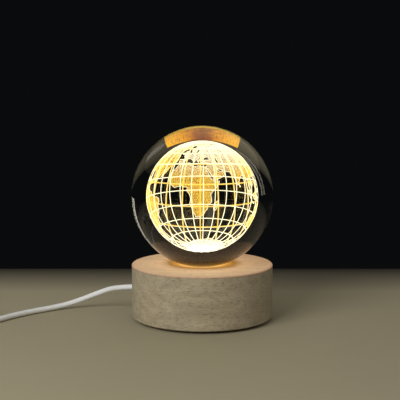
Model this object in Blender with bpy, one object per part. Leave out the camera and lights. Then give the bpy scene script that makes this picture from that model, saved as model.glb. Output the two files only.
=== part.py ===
"""Crystal ball lamp: a clear glass ball lies loose in the dished top of a turned beech base.

Under the ball a light module shines up through a bore. A round cord leaves the base near its foot,
lies in a neat coil beside the lamp, and carries an in-line rocker switch and a plug.
All sizes are in metres, +Z is up, and the origin is on the table under the middle of the base.
"""

import math

import bmesh
import bpy
import numpy as np
from mathutils import Euler, Matrix, Vector

# Fits and meshing
FIT = 0.0003                  # gap kept between two pieces that touch
FINE_FIT = 0.00015            # the same between very small pieces
OVERRUN = 0.0012              # how far a cutter passes the face that it breaks
MERGE = 0.000001              # points nearer than this are one point
SHARP_ANGLE = math.radians(35)
ROUND_STEPS = 48              # sides of the large turned pieces
SMALL_STEPS = 20              # sides of bores, lugs and feet
SCREW_STEPS = 10              # sides of the screws

# Glass ball
BALL_RADIUS = 0.0400
BALL_COLUMNS = 44
BALL_ROWS = 22
SEAT_RADIUS = 0.0125          # circle of the dished top that carries the ball

# Globe engraved in the glass, a grid of hollow marks
GLOBE_RADIUS = 0.0207         # middle of the marks' depth
GLOBE_LEAN = math.radians(14.6)   # its axis, back from upright
GLOBE_FRONT = math.radians(28.5)  # longitude that faces the front
GLOBE_MERIDIANS = 24
GLOBE_PARALLELS = 9
MARK_SIZE = 0.0006            # width and depth of a mark
MARK_INLET_RADIUS = 0.0009    # bore from under the ball, since the solids take no sealed hollow
MARK_INLET_STEPS = 8

# Feet, under the cover
FOOT_RADIUS = 0.0036
FOOT_HEIGHT = 0.0012
FOOT_INSET = 0.0010           # from the cover's edge
FOOT_COUNT = 4

# Wooden base, as wide as the ball
BASE_RADIUS = BALL_RADIUS
BASE_HEIGHT = 0.0300
TOP_ROUND = 0.0009            # broken top edge
FOOT_CHAMFER = 0.0006         # broken bottom edge
LIGHT_BORE_RADIUS = 0.0090
PILOT_DEPTH = 0.0050          # screw holes in the wood

# Cord
CORD_RADIUS = 0.0016
CORD_HEIGHT = 0.0130          # centre of the cord's hole above the wooden base's bottom
CORD_TURN = math.radians(160) # direction in which the cord leaves, from +X
CORD_STEP = 0.0062            # spacing of the points along a free stretch
CORD_LIFT = 0.0001            # the lying cord's clearance over the table
WIRE_RADIUS = 0.0006
WIRE_SPREAD = 0.0007          # the two conductors' offset from the cord's centre

# Light module
CAP_FLANGE = 0.0015
CAP_HEIGHT = 0.0060           # how far the cap's dome rises into the bore
CAP_WALL = 0.0012
CAP_CROWN = 0.0012            # how much the top of the cap is domed
BOARD_RADIUS = 0.0170
BOARD_THICKNESS = 0.0016
LED_COUNT = 3
LED_RING = 0.0040
LED_LENGTH = 0.0035
LED_WIDTH = 0.0028
LED_HEIGHT = 0.0009
LED_WELL = 0.0011             # radius of the chip's yellow window
LED_WELL_DEPTH = 0.0002
RESISTOR_LENGTH = 0.0032
RESISTOR_WIDTH = 0.0016
RESISTOR_HEIGHT = 0.0006
RESISTOR_OFFSET = 0.0060      # from the board's middle
PAD_OFFSET = 0.0100           # where the wires meet the board
PAD_SPREAD = 0.0022

# Screws: shank radius, head radius, head height and length under the head
BOARD_SCREW = (0.0011, 0.0021, 0.0013, 0.0072)
BOARD_SCREW_INSET = 0.00225   # from the board's edge, and from there to the cap's flange
CLAMP_SCREW = (0.0009, 0.0017, 0.0011, 0.0050)
COVER_SCREW = (0.0011, 0.0021, 0.0012, 0.0070)
COVER_SCREWS = 4
SCREW_PLAY = 0.0003           # clearance round a shank

# Cord clamp, between the board and the pocket's wall
SHEATH_GAP = 0.0028           # from the board to the end of the cord's sheath
SHEATH_PAST = 0.0005          # how far the sheath runs past the clamp
CLAMP_PLAY = 0.0016           # from the clamp to the pocket's wall
CLAMP_WIDTH = 0.0036
CLAMP_THICKNESS = 0.0011
CLAMP_LEG = 0.0044            # length of each flat leg

# Bottom cover
COVER_LEDGE = 0.0055          # width of the step that it lies on
COVER_THICKNESS = 0.0018
COVER_RIB_GAP = 0.0015        # from its locating rim to the pocket's wall
COVER_RIB_HEIGHT = 0.0016
COVER_RIB_WIDTH = 0.0014

# Coil of cord
COIL_CENTRE = (-0.1510, -0.0260)
COIL_RADIUS = 0.0230          # outermost turn, at the cord's centre
COIL_PITCH = 0.0037
COIL_RISE = 0.0037
COIL_LAYERS = 4
COIL_TURNS = 11
COIL_POINTS = 24              # points in each turn
COIL_START = math.radians(-35)
COIL_END = math.radians(-90)

# In-line switch
SWITCH_PLACE = (-0.1875, 0.0040)
SWITCH_TURN = math.radians(90)
SWITCH_LENGTH = 0.0480
SWITCH_WIDTH = 0.0150
SWITCH_HEIGHT = 0.0110
SWITCH_WALL = 0.0014
SWITCH_ROUND = 0.0012
SWITCH_PARTING = 0.0055       # height of the joint between the shells, and of the cord
SWITCH_CORNER = 3.0           # exponent of the case's rounded outline
SWITCH_OUTLINE_POINTS = 36
BOSS_OFFSET = (0.0135, 0.0036)
BOSS_RADIUS = 0.0017
BOSS_HOLE = 0.0008
BOSS_SINK = 0.0005            # how far a boss or rib is rooted in its wall
CASE_SCREW = (0.0006, 0.0014, 0.0008, 0.0052)
RIB_OFFSET = 0.0195           # cord-gripping rib, from the switch's middle
RIB_THICKNESS = 0.0012
CORD_REACH = 0.0070           # how far the cord runs into the case
INNER_WIRE_RADIUS = 0.0005

# Rocker
ROCKER_REACH = 0.0085         # radius of its rounded ends about the pivot
ROCKER_WIDTH = 0.0084
ROCKER_PLAY = 0.0004
ROCKER_PROUD = 0.0013         # how far its ends stand over the case when it is level
ROCKER_DISH = 0.0007          # hollow of its top face
ROCKER_DEPTH = 0.0029         # its underside, below the pivot
PIVOT_DROP = 0.0020           # pivot below the case's top
PIVOT_RADIUS = 0.0010
PIVOT_LENGTH = 0.0012
EAR_HALF_LENGTH = 0.0024
EAR_DROP = 0.0023             # how far an ear hangs below the pivot
ROCKER_TILT = math.radians(7) # on at rest, off at twice this angle the other way

# Contacts in the switch
STRIP_THICKNESS = 0.0004
STRIP_WIDTH = 0.0024
STRIP_HALF_LENGTH = 0.0066
POST_THICKNESS = 0.0005
FOOT_LENGTH = 0.0042
POST_OUT = 0.0060             # place of the outer contact

# Plug
PLUG_PLACE = (-0.1700, 0.0465)
PLUG_TURN = math.radians(-16)
PLUG_BODY = (0.0175, 0.0155, 0.0078)
PLUG_EDGE = 0.0014
RELIEF_LENGTH = 0.0100
RELIEF_THICK = 0.0030         # radius where it meets the body
RELIEF_THIN = 0.0021          # radius at the cord
RELIEF_GROOVES = 3
RELIEF_GROOVE_DEPTH = 0.0004
SHELL_SIZE = (0.0175, 0.0120, 0.0045)
SHELL_WALL = 0.0003
SHELL_CORNER = 0.0005
SHELL_SUNK = 0.0057           # length of the shell inside the moulding
SHELL_WINDOW = (0.0022, 0.0022)
SHELL_WINDOW_OFFSET = (0.0063, 0.0025)  # from the tip, and to each side
TONGUE_THICKNESS = 0.0018
TONGUE_RECESS = 0.0008        # the tongue ends this far inside the shell's mouth
TONGUE_BLOCK = 0.0060         # length of the full-height rear block
CONTACT_WIDTH = 0.0010
CONTACT_THICKNESS = 0.0003
CONTACT_SPACING = 0.0022
CONTACT_LENGTH = 0.0068
CONTACT_COUNT = 4

# Levels and places that follow from the sizes
BASE_BOTTOM = FOOT_HEIGHT + FIT
BASE_TOP = BASE_BOTTOM + BASE_HEIGHT
BALL_CENTRE = BASE_TOP + math.sqrt(BALL_RADIUS**2 - SEAT_RADIUS**2)
DISH_RADIUS = BALL_RADIUS + FIT
CORD_Z = BASE_BOTTOM + CORD_HEIGHT
CORD_HOLE = CORD_RADIUS + FIT
POCKET_TOP = CORD_Z + CORD_HOLE + FIT
BOARD_SCREW_RING = BOARD_RADIUS - BOARD_SCREW_INSET
CAP_FLANGE_RADIUS = BOARD_SCREW_RING - BOARD_SCREW_INSET
SHEATH_END = BOARD_RADIUS + SHEATH_GAP
CLAMP_RING = SHEATH_END + SHEATH_PAST + CLAMP_WIDTH / 2
POCKET_RADIUS = CLAMP_RING + CLAMP_WIDTH / 2 + CLAMP_PLAY
COVER_RIB_RADIUS = POCKET_RADIUS - COVER_RIB_GAP
COVER_SCREW_RING = POCKET_RADIUS + COVER_LEDGE / 2
RECESS_RADIUS = POCKET_RADIUS + COVER_LEDGE
RECESS_TOP = BASE_BOTTOM + COVER_THICKNESS + FIT
COVER_RADIUS = RECESS_RADIUS - FIT
FOOT_RING = COVER_RADIUS - FOOT_INSET - FOOT_RADIUS
BOARD_TOP = POCKET_TOP - FIT - CAP_FLANGE - FIT
BOARD_BOTTOM = BOARD_TOP - BOARD_THICKNESS
CORD_DIAMETER = 2 * CORD_RADIUS
CORD_LIE = CORD_RADIUS + CORD_LIFT
SWITCH_HALF = SWITCH_LENGTH / 2
SHEATH_STOP = SWITCH_HALF - CORD_REACH
PIVOT_Z = SWITCH_HEIGHT - PIVOT_DROP
SWITCH_FLOOR = SWITCH_WALL
PLUG_Z = PLUG_BODY[2] / 2 + CORD_LIFT


# Scene and material helpers

def clear_scene():
    """Removes whatever the scene holds, such as the start-up cube."""
    for obj in list(bpy.data.objects):
        bpy.data.objects.remove(obj, do_unlink=True)


def material(name, colour, roughness, metallic=0.0, transmission=0.0, alpha=1.0):
    """A Principled material with one colour and finish."""
    made = bpy.data.materials.new(name)
    made.use_nodes = True
    shader = made.node_tree.nodes["Principled BSDF"]
    shader.inputs["Base Color"].default_value = (*colour, 1.0)
    shader.inputs["Roughness"].default_value = roughness
    shader.inputs["Metallic"].default_value = metallic
    shader.inputs["Transmission Weight"].default_value = transmission
    shader.inputs["Alpha"].default_value = alpha
    made.diffuse_color = (*colour, alpha)
    return made


def link(obj, place=(0, 0, 0), turn=0.0, parent=None):
    """Puts an object in the scene at its place, turned about Z, under its parent if it has one."""
    bpy.context.scene.collection.objects.link(obj)
    obj.location = place
    obj.rotation_euler = Euler((0, 0, turn))
    obj.parent = parent
    return obj


def solid(name, shape, finish, place=(0, 0, 0), turn=0.0, parent=None):
    """Makes a named object from a bmesh, with its faces pointing out and its round sides smooth."""
    bmesh.ops.recalc_face_normals(shape, faces=shape.faces)
    mesh = bpy.data.meshes.new(name)
    shape.to_mesh(mesh)
    shape.free()
    mesh.shade_smooth()
    mesh.set_sharp_from_angle(angle=SHARP_ANGLE)
    mesh.materials.append(finish)
    return link(bpy.data.objects.new(name, mesh), place, turn, parent)


def repeated(name, shape, finish, places, turn=0.0, parent=None):
    """One numbered object at each place, all with the same mesh."""
    first = solid(f"{name}_1", shape, finish, places[0], turn, parent)
    for k, place in enumerate(places[1:], start=2):
        link(bpy.data.objects.new(f"{name}_{k}", first.data), place, turn, parent)


def anchor(name, place, turn):
    """An empty that carries the pieces of one housing."""
    return link(bpy.data.objects.new(name, None), place, turn)


def hide_guide(obj):
    """Marks an object that only cuts or joins others."""
    obj.hide_render = True
    obj.display_type = "WIRE"


def combine(obj, tool_shape, operation, name):
    """Cuts a shape out of an object, or joins it on, with a live Boolean modifier."""
    bmesh.ops.recalc_face_normals(tool_shape, faces=tool_shape.faces)
    mesh = bpy.data.meshes.new(name)
    tool_shape.to_mesh(mesh)
    tool_shape.free()
    tool = link(bpy.data.objects.new(name, mesh), obj.location, obj.rotation_euler.z, obj.parent)
    hide_guide(tool)
    modifier = obj.modifiers.new(name, "BOOLEAN")
    modifier.operation = operation
    modifier.solver = "EXACT"
    modifier.object = tool


# Shape helpers

def turned(outline, steps, closed=False):
    """Spins an outline of (radius, height) points about Z."""
    shape = bmesh.new()
    verts = [shape.verts.new((radius, 0, height)) for radius, height in outline]
    edges = [shape.edges.new(pair) for pair in zip(verts, verts[1:])]
    if closed:
        edges.append(shape.edges.new((verts[-1], verts[0])))
    bmesh.ops.spin(shape, geom=verts + edges, axis=(0, 0, 1), cent=(0, 0, 0), angle=math.tau,
                   steps=steps, use_merge=True)
    bmesh.ops.remove_doubles(shape, verts=shape.verts, dist=MERGE)
    return shape


def prism(outline, low, high):
    """Stands an outline of (x, y) points up from one height to another."""
    shape = bmesh.new()
    face = shape.faces.new([shape.verts.new((x, y, low)) for x, y in outline])
    top = bmesh.ops.extrude_face_region(shape, geom=[face])["geom"]
    bmesh.ops.translate(shape, verts=[v for v in top if isinstance(v, bmesh.types.BMVert)],
                        vec=(0, 0, high - low))
    return shape


def block(low, high):
    """A box between two corners."""
    return prism([(low[0], low[1]), (high[0], low[1]), (high[0], high[1]), (low[0], high[1])],
                 low[2], high[2])


def rod(radius, low, high, steps=SMALL_STEPS):
    """A round bar standing on Z."""
    ring = [(radius * math.cos(math.tau * k / steps), radius * math.sin(math.tau * k / steps))
            for k in range(steps)]
    return prism(ring, low, high)


def moved(shape, place=(0, 0, 0), turn=(0, 0, 0)):
    """Turns a shape about the origin, then moves it."""
    matrix = Matrix.Translation(Vector(place)) @ Euler(turn).to_matrix().to_4x4()
    bmesh.ops.transform(shape, matrix=matrix, verts=shape.verts)
    return shape


def gathered(shapes):
    """Several separate shapes as one mesh."""
    whole = bmesh.new()
    for shape in shapes:
        part = bpy.data.meshes.new("part")
        shape.to_mesh(part)
        shape.free()
        whole.from_mesh(part)
        bpy.data.meshes.remove(part)
    return whole


def round_edges(shape, test, width, steps=2):
    """Rounds the edges whose two ends both pass the test."""
    edges = [e for e in shape.edges if all(test(v.co) for v in e.verts)]
    bmesh.ops.bevel(shape, geom=edges, offset=width, segments=steps, profile=0.5, affect="EDGES",
                    material=-1)
    return shape


def ring_places(count, radius, first=0.0):
    """Evenly spaced places on a circle, with the direction of each."""
    angles = [first + math.tau * k / count for k in range(count)]
    return [(radius * math.cos(a), radius * math.sin(a), a) for a in angles]


def screw_shape(sizes, countersunk=False):
    """A screw that points up, with the underside of its pan head, or its flat head's top, at zero."""
    shank, head, head_height, length = sizes
    tip_share = 0.80
    crown_share = 0.65
    rim_share = 0.45
    if countersunk:
        outline = [(0, 0), (head, 0), (shank, head_height)]
    else:
        outline = [(0, -head_height), (crown_share * head, -head_height),
                   (head, -rim_share * head_height), (head, 0), (shank, 0)]
    return turned(outline + [(shank, tip_share * length), (0, length)], SCREW_STEPS)


def pilot(sizes, depth):
    """The hole that a screw's shank fills."""
    return rod(sizes[0] + SCREW_PLAY, -OVERRUN, depth, SCREW_STEPS)


# Cord helpers

def smooth_route(points, step):
    """Evenly spaced points on a smooth curve through the given ones."""
    fine = 20
    knots = [Vector(p) for p in points]
    knots = [2 * knots[0] - knots[1]] + knots + [2 * knots[-1] - knots[-2]]
    dense = []
    for a, b, c, d in zip(knots, knots[1:], knots[2:], knots[3:]):
        for k in range(fine):
            t = k / fine
            dense.append(b + (c - a) * (t / 2) + (a - 2.5 * b + 2 * c - d / 2) * t**2
                         + (3 * (b - c) + d - a) * (t**3 / 2))
    dense.append(knots[-2])
    lengths = np.cumsum([0] + [(q - p).length for p, q in zip(dense, dense[1:])])
    count = max(2, round(lengths[-1] / step))
    wanted = np.linspace(0, lengths[-1], count + 1)
    return [Vector([float(np.interp(s, lengths, [p[axis] for p in dense])) for axis in range(3)])
            for s in wanted]


def tube(name, points, radius, rounding, finish, parent=None):
    """A round tube with filled ends along the points."""
    curve = bpy.data.curves.new(name, "CURVE")
    curve.dimensions = "3D"
    curve.bevel_depth = radius
    curve.bevel_resolution = rounding
    curve.use_fill_caps = True
    spline = curve.splines.new("POLY")
    spline.points.add(len(points) - 1)
    for point, place in zip(spline.points, points):
        point.co = (*place, 1)
    curve.materials.append(finish)
    return link(bpy.data.objects.new(name, curve), parent=parent)


def from_polar(radius, angle, z):
    """A point given by its distance from Z, its direction and its height."""
    return Vector((radius * math.cos(angle), radius * math.sin(angle), z))


def coil_turns():
    """The number of turns that brings the coil clockwise from its start to its end."""
    return COIL_TURNS + (COIL_START - COIL_END) / math.tau


def coil_points():
    """Piled clockwise loops that spiral in and out and climb a layer at each reversal."""
    turns = coil_turns()
    layer_turns = turns / COIL_LAYERS
    climb_turns = 0.5
    count = round(turns * COIL_POINTS)
    points = []
    for k in range(count + 1):
        wound = turns * k / count
        layer = min(int(wound / layer_turns), COIL_LAYERS - 1)
        along = wound - layer * layer_turns
        inward = along if layer % 2 == 0 else layer_turns - along
        radius = COIL_RADIUS - COIL_PITCH * inward
        z = CORD_LIE
        for reversal in range(1, COIL_LAYERS):
            share = (wound - reversal * layer_turns) / climb_turns + 0.5
            share = min(max(share, 0), 1)
            z += COIL_RISE * (1 - math.cos(math.pi * share)) / 2
        spot = from_polar(radius, COIL_START - math.tau * wound, z)
        points.append(spot + Vector((*COIL_CENTRE, 0)))
    return points


def coil_heading(angle):
    """The way the cord runs at a place on the clockwise coil."""
    return Vector((math.sin(angle), -math.cos(angle), 0))


def least_gap(points, diameter, skip):
    """The smallest gap between a tube and its own other turns, measured on its points."""
    places = np.array([tuple(p) for p in points])
    starts, ends = places[:-1], places[1:]
    spans = ends - starts
    least = math.inf
    for k, place in enumerate(places):
        share = ((place - starts) * spans).sum(1) / (spans * spans).sum(1)
        nearest = starts + spans * np.clip(share, 0, 1)[:, None]
        apart = np.linalg.norm(nearest - place, axis=1)
        far = np.abs(np.arange(len(starts)) - k) > skip
        least = min(least, float(apart[far].min()))
    return least - diameter


# Ball and base

def leaning(shape):
    """Turns a shape from the globe's own frame, pole up, to the way that the globe stands."""
    turned_round = moved(shape, turn=(0, 0, -math.pi / 2 - GLOBE_FRONT))
    return moved(turned_round, turn=(-GLOBE_LEAN, 0, 0))


def globe_marks():
    """The globe's meridians and parallels, a grid of bars that join at the poles."""
    shape = bmesh.new()
    bmesh.ops.create_uvsphere(shape, u_segments=GLOBE_MERIDIANS, v_segments=GLOBE_PARALLELS + 1,
                              radius=GLOBE_RADIUS)
    bmesh.ops.wireframe(shape, faces=shape.faces, thickness=MARK_SIZE, use_even_offset=True,
                        use_replace=True)
    return leaning(shape)


def crystal_ball():
    """The clear ball with the globe engraved in it, its own centre the origin of its object."""
    shape = bmesh.new()
    bmesh.ops.create_uvsphere(shape, u_segments=BALL_COLUMNS, v_segments=BALL_ROWS, radius=BALL_RADIUS)
    glass = material("clear_glass", (0.95, 0.97, 0.97), 0.02, transmission=1.0)
    ball = solid("crystal_ball", shape, glass, (0, 0, BALL_CENTRE))
    combine(ball, globe_marks(), "DIFFERENCE", "globe_marks")
    inlet = rod(MARK_INLET_RADIUS, -BALL_RADIUS - OVERRUN, -GLOBE_RADIUS, MARK_INLET_STEPS)
    combine(ball, leaning(inlet), "DIFFERENCE", "marks_inlet")


def base_outline():
    """The turned base from its dished top round its outside to the stepped hole in its underside."""
    rim = math.sqrt(DISH_RADIUS**2 - (BALL_CENTRE - BASE_TOP)**2)
    dish_steps = 3
    dish = []
    for k in range(dish_steps + 1):
        radius = LIGHT_BORE_RADIUS + (rim - LIGHT_BORE_RADIUS) * k / dish_steps
        dish.append((radius, BALL_CENTRE - math.sqrt(DISH_RADIUS**2 - radius**2)))
    edge_steps = 3
    edge = []
    for k in range(edge_steps + 1):
        turn = math.pi / 2 * k / edge_steps
        edge.append((BASE_RADIUS - TOP_ROUND * (1 - math.sin(turn)),
                     BASE_TOP - TOP_ROUND * (1 - math.cos(turn))))
    return dish + edge + [
        (BASE_RADIUS, BASE_BOTTOM + FOOT_CHAMFER),
        (BASE_RADIUS - FOOT_CHAMFER, BASE_BOTTOM),
        (RECESS_RADIUS, BASE_BOTTOM),
        (RECESS_RADIUS, RECESS_TOP),
        (POCKET_RADIUS, RECESS_TOP),
        (POCKET_RADIUS, POCKET_TOP),
        (LIGHT_BORE_RADIUS, POCKET_TOP),
    ]


def board_screw_places():
    """The board's two screws stand square to the cord."""
    return ring_places(2, BOARD_SCREW_RING, CORD_TURN + math.pi / 2)


def clamp_screw_offset():
    """From the cord to the middle of a clamp leg."""
    return CORD_HOLE + CLAMP_THICKNESS + CLAMP_LEG / 2


def cover_screw_places():
    """The cover's screws, with the cord midway between two of them."""
    return ring_places(COVER_SCREWS, COVER_SCREW_RING, CORD_TURN + math.pi / COVER_SCREWS)


def wood_base():
    """The beech base with its cord hole and the screw holes in its underside."""
    beech = material("beech", (0.72, 0.55, 0.38), 0.55)
    base = solid("wood_base", turned(base_outline(), ROUND_STEPS, closed=True), beech)
    along = rod(CORD_HOLE, POCKET_RADIUS - OVERRUN, BASE_RADIUS + OVERRUN)
    moved(along, turn=(0, math.pi / 2, 0))
    combine(base, moved(along, (0, 0, CORD_Z), (0, 0, CORD_TURN)), "DIFFERENCE", "cord_hole")
    holes = [moved(pilot(BOARD_SCREW, PILOT_DEPTH), (x, y, POCKET_TOP))
             for x, y, _ in board_screw_places()]
    for side in (-1, 1):
        hole = moved(pilot(CLAMP_SCREW, PILOT_DEPTH),
                     (CLAMP_RING, side * clamp_screw_offset(), POCKET_TOP))
        holes.append(moved(hole, turn=(0, 0, CORD_TURN)))
    holes += [moved(pilot(COVER_SCREW, COVER_SCREW[3]), (x, y, RECESS_TOP))
              for x, y, _ in cover_screw_places()]
    combine(base, gathered(holes), "DIFFERENCE", "screw_holes")


def feet():
    """Four rubber feet stuck to the cover between its screws."""
    rubber = material("foot_rubber", (0.05, 0.05, 0.05), 0.85)
    crown = FOOT_HEIGHT / 3
    outline = [(0, 0), (FOOT_RADIUS - crown, 0), (FOOT_RADIUS, crown), (FOOT_RADIUS, FOOT_HEIGHT),
               (0, FOOT_HEIGHT)]
    places = [(x, y, 0) for x, y, _ in ring_places(FOOT_COUNT, FOOT_RING, CORD_TURN)]
    repeated("foot", turned(outline, SMALL_STEPS), rubber, places)


# Light module

def light_cap():
    """The frosted cap over the light chips: a flange under the wood and a dome up in the bore."""
    outer = LIGHT_BORE_RADIUS - FIT
    inner = outer - CAP_WALL
    top = FIT + CAP_HEIGHT
    shoulder = top - CAP_CROWN
    side_share = 0.72
    bulge_share = 0.62
    flange_top = -FIT
    flange_bottom = flange_top - CAP_FLANGE
    outline = [
        (0, top), (side_share * outer, top - (1 - bulge_share) * CAP_CROWN), (outer, shoulder - CAP_CROWN),
        (outer, flange_top), (CAP_FLANGE_RADIUS, flange_top), (CAP_FLANGE_RADIUS, flange_bottom),
        (inner, flange_bottom), (inner, shoulder - CAP_CROWN),
        (side_share * inner, shoulder - CAP_CROWN / 3), (0, top - CAP_WALL),
    ]
    frosted = material("frosted_cap", (0.95, 0.93, 0.88), 0.45, transmission=0.6)
    solid("light_cap", turned(outline, ROUND_STEPS // 2), frosted, (0, 0, POCKET_TOP))


def led_board():
    """The round board under the cap, with its two screws."""
    white = material("board_white", (0.86, 0.87, 0.85), 0.35)
    disc = turned([(0, BOARD_BOTTOM), (BOARD_RADIUS, BOARD_BOTTOM), (BOARD_RADIUS, BOARD_TOP),
                   (0, BOARD_TOP)], ROUND_STEPS // 2)
    board = solid("led_board", disc, white)
    holes = [moved(rod(BOARD_SCREW[0] + SCREW_PLAY, BOARD_BOTTOM - OVERRUN, BOARD_TOP + OVERRUN,
                       SCREW_STEPS), (x, y, 0)) for x, y, _ in board_screw_places()]
    combine(board, gathered(holes), "DIFFERENCE", "board_holes")
    steel = material("screw_steel", (0.62, 0.62, 0.63), 0.3, metallic=1.0)
    places = [(x, y, BOARD_BOTTOM - FIT) for x, y, _ in board_screw_places()]
    repeated("board_screw", screw_shape(BOARD_SCREW), steel, places)


def leds():
    """Three light chips on the board, each with a round window."""
    yellow = material("led_yellow", (0.93, 0.80, 0.28), 0.4)
    for k, (x, y, angle) in enumerate(ring_places(LED_COUNT, LED_RING, CORD_TURN)):
        shape = block((-LED_LENGTH / 2, -LED_WIDTH / 2, 0), (LED_LENGTH / 2, LED_WIDTH / 2, LED_HEIGHT))
        chip = solid(f"led_{k + 1}", shape, yellow, (x, y, BOARD_TOP + FINE_FIT), angle)
        well = rod(LED_WELL, LED_HEIGHT - LED_WELL_DEPTH, LED_HEIGHT + OVERRUN, SCREW_STEPS)
        combine(chip, well, "DIFFERENCE", f"led_window_{k + 1}")


def resistor():
    """The flat resistor under the board, with a waist between its two metal ends."""
    black = material("resistor_black", (0.06, 0.06, 0.07), 0.4)
    end_share = 0.34
    inset_share = 0.92
    half = RESISTOR_LENGTH / 2
    waist = end_share * RESISTOR_LENGTH
    side = RESISTOR_WIDTH / 2
    slim = inset_share * side
    near = [(-half, -side), (-waist, -side), (-waist, -slim), (waist, -slim), (waist, -side), (half, -side)]
    outline = near + [(x, -y) for x, y in reversed(near)]
    place = from_polar(RESISTOR_OFFSET, CORD_TURN + math.pi, BOARD_BOTTOM - FINE_FIT)
    solid("resistor", prism(outline, -RESISTOR_HEIGHT, 0), black, place, CORD_TURN + math.pi / 2)


def supply_wires():
    """The cord's two conductors, from the stripped sheath to the underside of the board."""
    colours = {"red_wire": (1, (0.55, 0.03, 0.03)), "black_wire": (-1, (0.03, 0.03, 0.03))}
    for name, (side, colour) in colours.items():
        start = SHEATH_END - FIT
        under = BOARD_BOTTOM - FIT - 2 * WIRE_RADIUS
        middle = (WIRE_SPREAD + PAD_SPREAD) / 2
        route = [
            (start, side * WIRE_SPREAD, CORD_Z),
            (start - WIRE_RADIUS, side * WIRE_SPREAD, CORD_Z),
            ((start + BOARD_RADIUS) / 2, side * WIRE_SPREAD, BOARD_BOTTOM),
            (BOARD_RADIUS, side * middle, under),
            ((BOARD_RADIUS + PAD_OFFSET) / 2, side * PAD_SPREAD, under - WIRE_RADIUS),
            (PAD_OFFSET + 2 * WIRE_RADIUS, side * PAD_SPREAD, under - WIRE_RADIUS),
            (PAD_OFFSET, side * PAD_SPREAD, under),
            (PAD_OFFSET, side * PAD_SPREAD, BOARD_BOTTOM - FIT),
        ]
        turn = Matrix.Rotation(CORD_TURN, 3, "Z")
        points = smooth_route([turn @ Vector(p) for p in route], 2 * WIRE_RADIUS)
        tube(name, points, WIRE_RADIUS, 1, material(name + "_sheath", colour, 0.45))


def cord_clamp():
    """The saddle that holds the cord up to the wood, and its two screws."""
    inner = CORD_HOLE
    outer = inner + CLAMP_THICKNESS
    reach = outer + CLAMP_LEG
    steps = 8
    floor = POCKET_TOP - FIT
    cheek = floor - CLAMP_THICKNESS
    arc = [math.pi * k / steps for k in range(steps + 1)]
    outline = [(-reach, floor), (-inner, floor)]
    outline += [(-inner * math.cos(a), CORD_Z - inner * math.sin(a)) for a in arc]
    outline += [(inner, floor), (reach, floor), (reach, cheek), (outer, cheek)]
    outline += [(outer * math.cos(a), CORD_Z - outer * math.sin(a)) for a in arc]
    outline += [(-outer, cheek), (-reach, cheek)]
    shape = prism([(y, z) for y, z in outline], -CLAMP_WIDTH / 2, CLAMP_WIDTH / 2)
    upright = Matrix(((0, 0, 1), (1, 0, 0), (0, 1, 0))).to_4x4()
    bmesh.ops.transform(shape, matrix=upright, verts=shape.verts)
    nylon = material("clamp_nylon", (0.80, 0.80, 0.78), 0.45)
    clamp = solid("cord_clamp", moved(shape, (CLAMP_RING, 0, 0)), nylon, turn=CORD_TURN)
    spots = [Vector((CLAMP_RING, side * clamp_screw_offset(), 0)) for side in (-1, 1)]
    holes = [moved(rod(CLAMP_SCREW[0] + SCREW_PLAY, cheek - OVERRUN, floor + OVERRUN, SCREW_STEPS), spot)
             for spot in spots]
    combine(clamp, gathered(holes), "DIFFERENCE", "clamp_holes")
    steel = material("clamp_steel", (0.62, 0.62, 0.63), 0.3, metallic=1.0)
    turn = Matrix.Rotation(CORD_TURN, 3, "Z")
    places = [turn @ (spot + Vector((0, 0, cheek - FIT))) for spot in spots]
    repeated("clamp_screw", screw_shape(CLAMP_SCREW), steel, places)


def bottom_cover():
    """The cover set flush into the underside, with a locating rim and countersunk screws."""
    low = BASE_BOTTOM
    high = BASE_BOTTOM + COVER_THICKNESS
    rim_in = COVER_RIB_RADIUS - COVER_RIB_WIDTH
    outline = [(0, low), (COVER_RADIUS, low), (COVER_RADIUS, high), (COVER_RIB_RADIUS, high),
               (COVER_RIB_RADIUS, high + COVER_RIB_HEIGHT), (rim_in, high + COVER_RIB_HEIGHT), (rim_in, high),
               (0, high)]
    black = material("cover_plastic", (0.04, 0.04, 0.045), 0.5)
    cover = solid("bottom_cover", turned(outline, ROUND_STEPS), black)
    shank, head, head_height, _ = COVER_SCREW
    sink = [(0, -OVERRUN), (head + FIT, -OVERRUN), (head + FIT, 0), (shank + SCREW_PLAY, head_height),
            (shank + SCREW_PLAY, COVER_THICKNESS + OVERRUN), (0, COVER_THICKNESS + OVERRUN)]
    sinks = [moved(turned(sink, SCREW_STEPS), (x, y, low)) for x, y, _ in cover_screw_places()]
    combine(cover, gathered(sinks), "DIFFERENCE", "cover_sinks")
    steel = material("cover_steel", (0.62, 0.62, 0.63), 0.3, metallic=1.0)
    places = [(x, y, low) for x, y, _ in cover_screw_places()]
    repeated("cover_screw", screw_shape(COVER_SCREW, countersunk=True), steel, places)


# In-line switch, along its own X

def case_half_width(along, inset):
    """Half the width of the case's rounded outline, drawn in by the inset, at a distance from its middle."""
    share = min(abs(along) / (SWITCH_HALF - inset), 1)
    return (SWITCH_WIDTH / 2 - inset) * (1 - share**SWITCH_CORNER) ** (1 / SWITCH_CORNER)


def case_outline(inset):
    """The case's rounded outline, drawn in by a wall where inset is not zero."""
    half_length = SWITCH_HALF - inset
    half_width = SWITCH_WIDTH / 2 - inset
    power = 2 / SWITCH_CORNER
    points = []
    for k in range(SWITCH_OUTLINE_POINTS):
        angle = math.tau * k / SWITCH_OUTLINE_POINTS
        c, s = math.cos(angle), math.sin(angle)
        points.append((half_length * math.copysign(abs(c) ** power, c),
                       half_width * math.copysign(abs(s) ** power, s)))
    return points


def boss_places():
    """The two screw bosses, on opposite corners."""
    x, y = BOSS_OFFSET
    return [(-x, y), (x, -y)]


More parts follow.
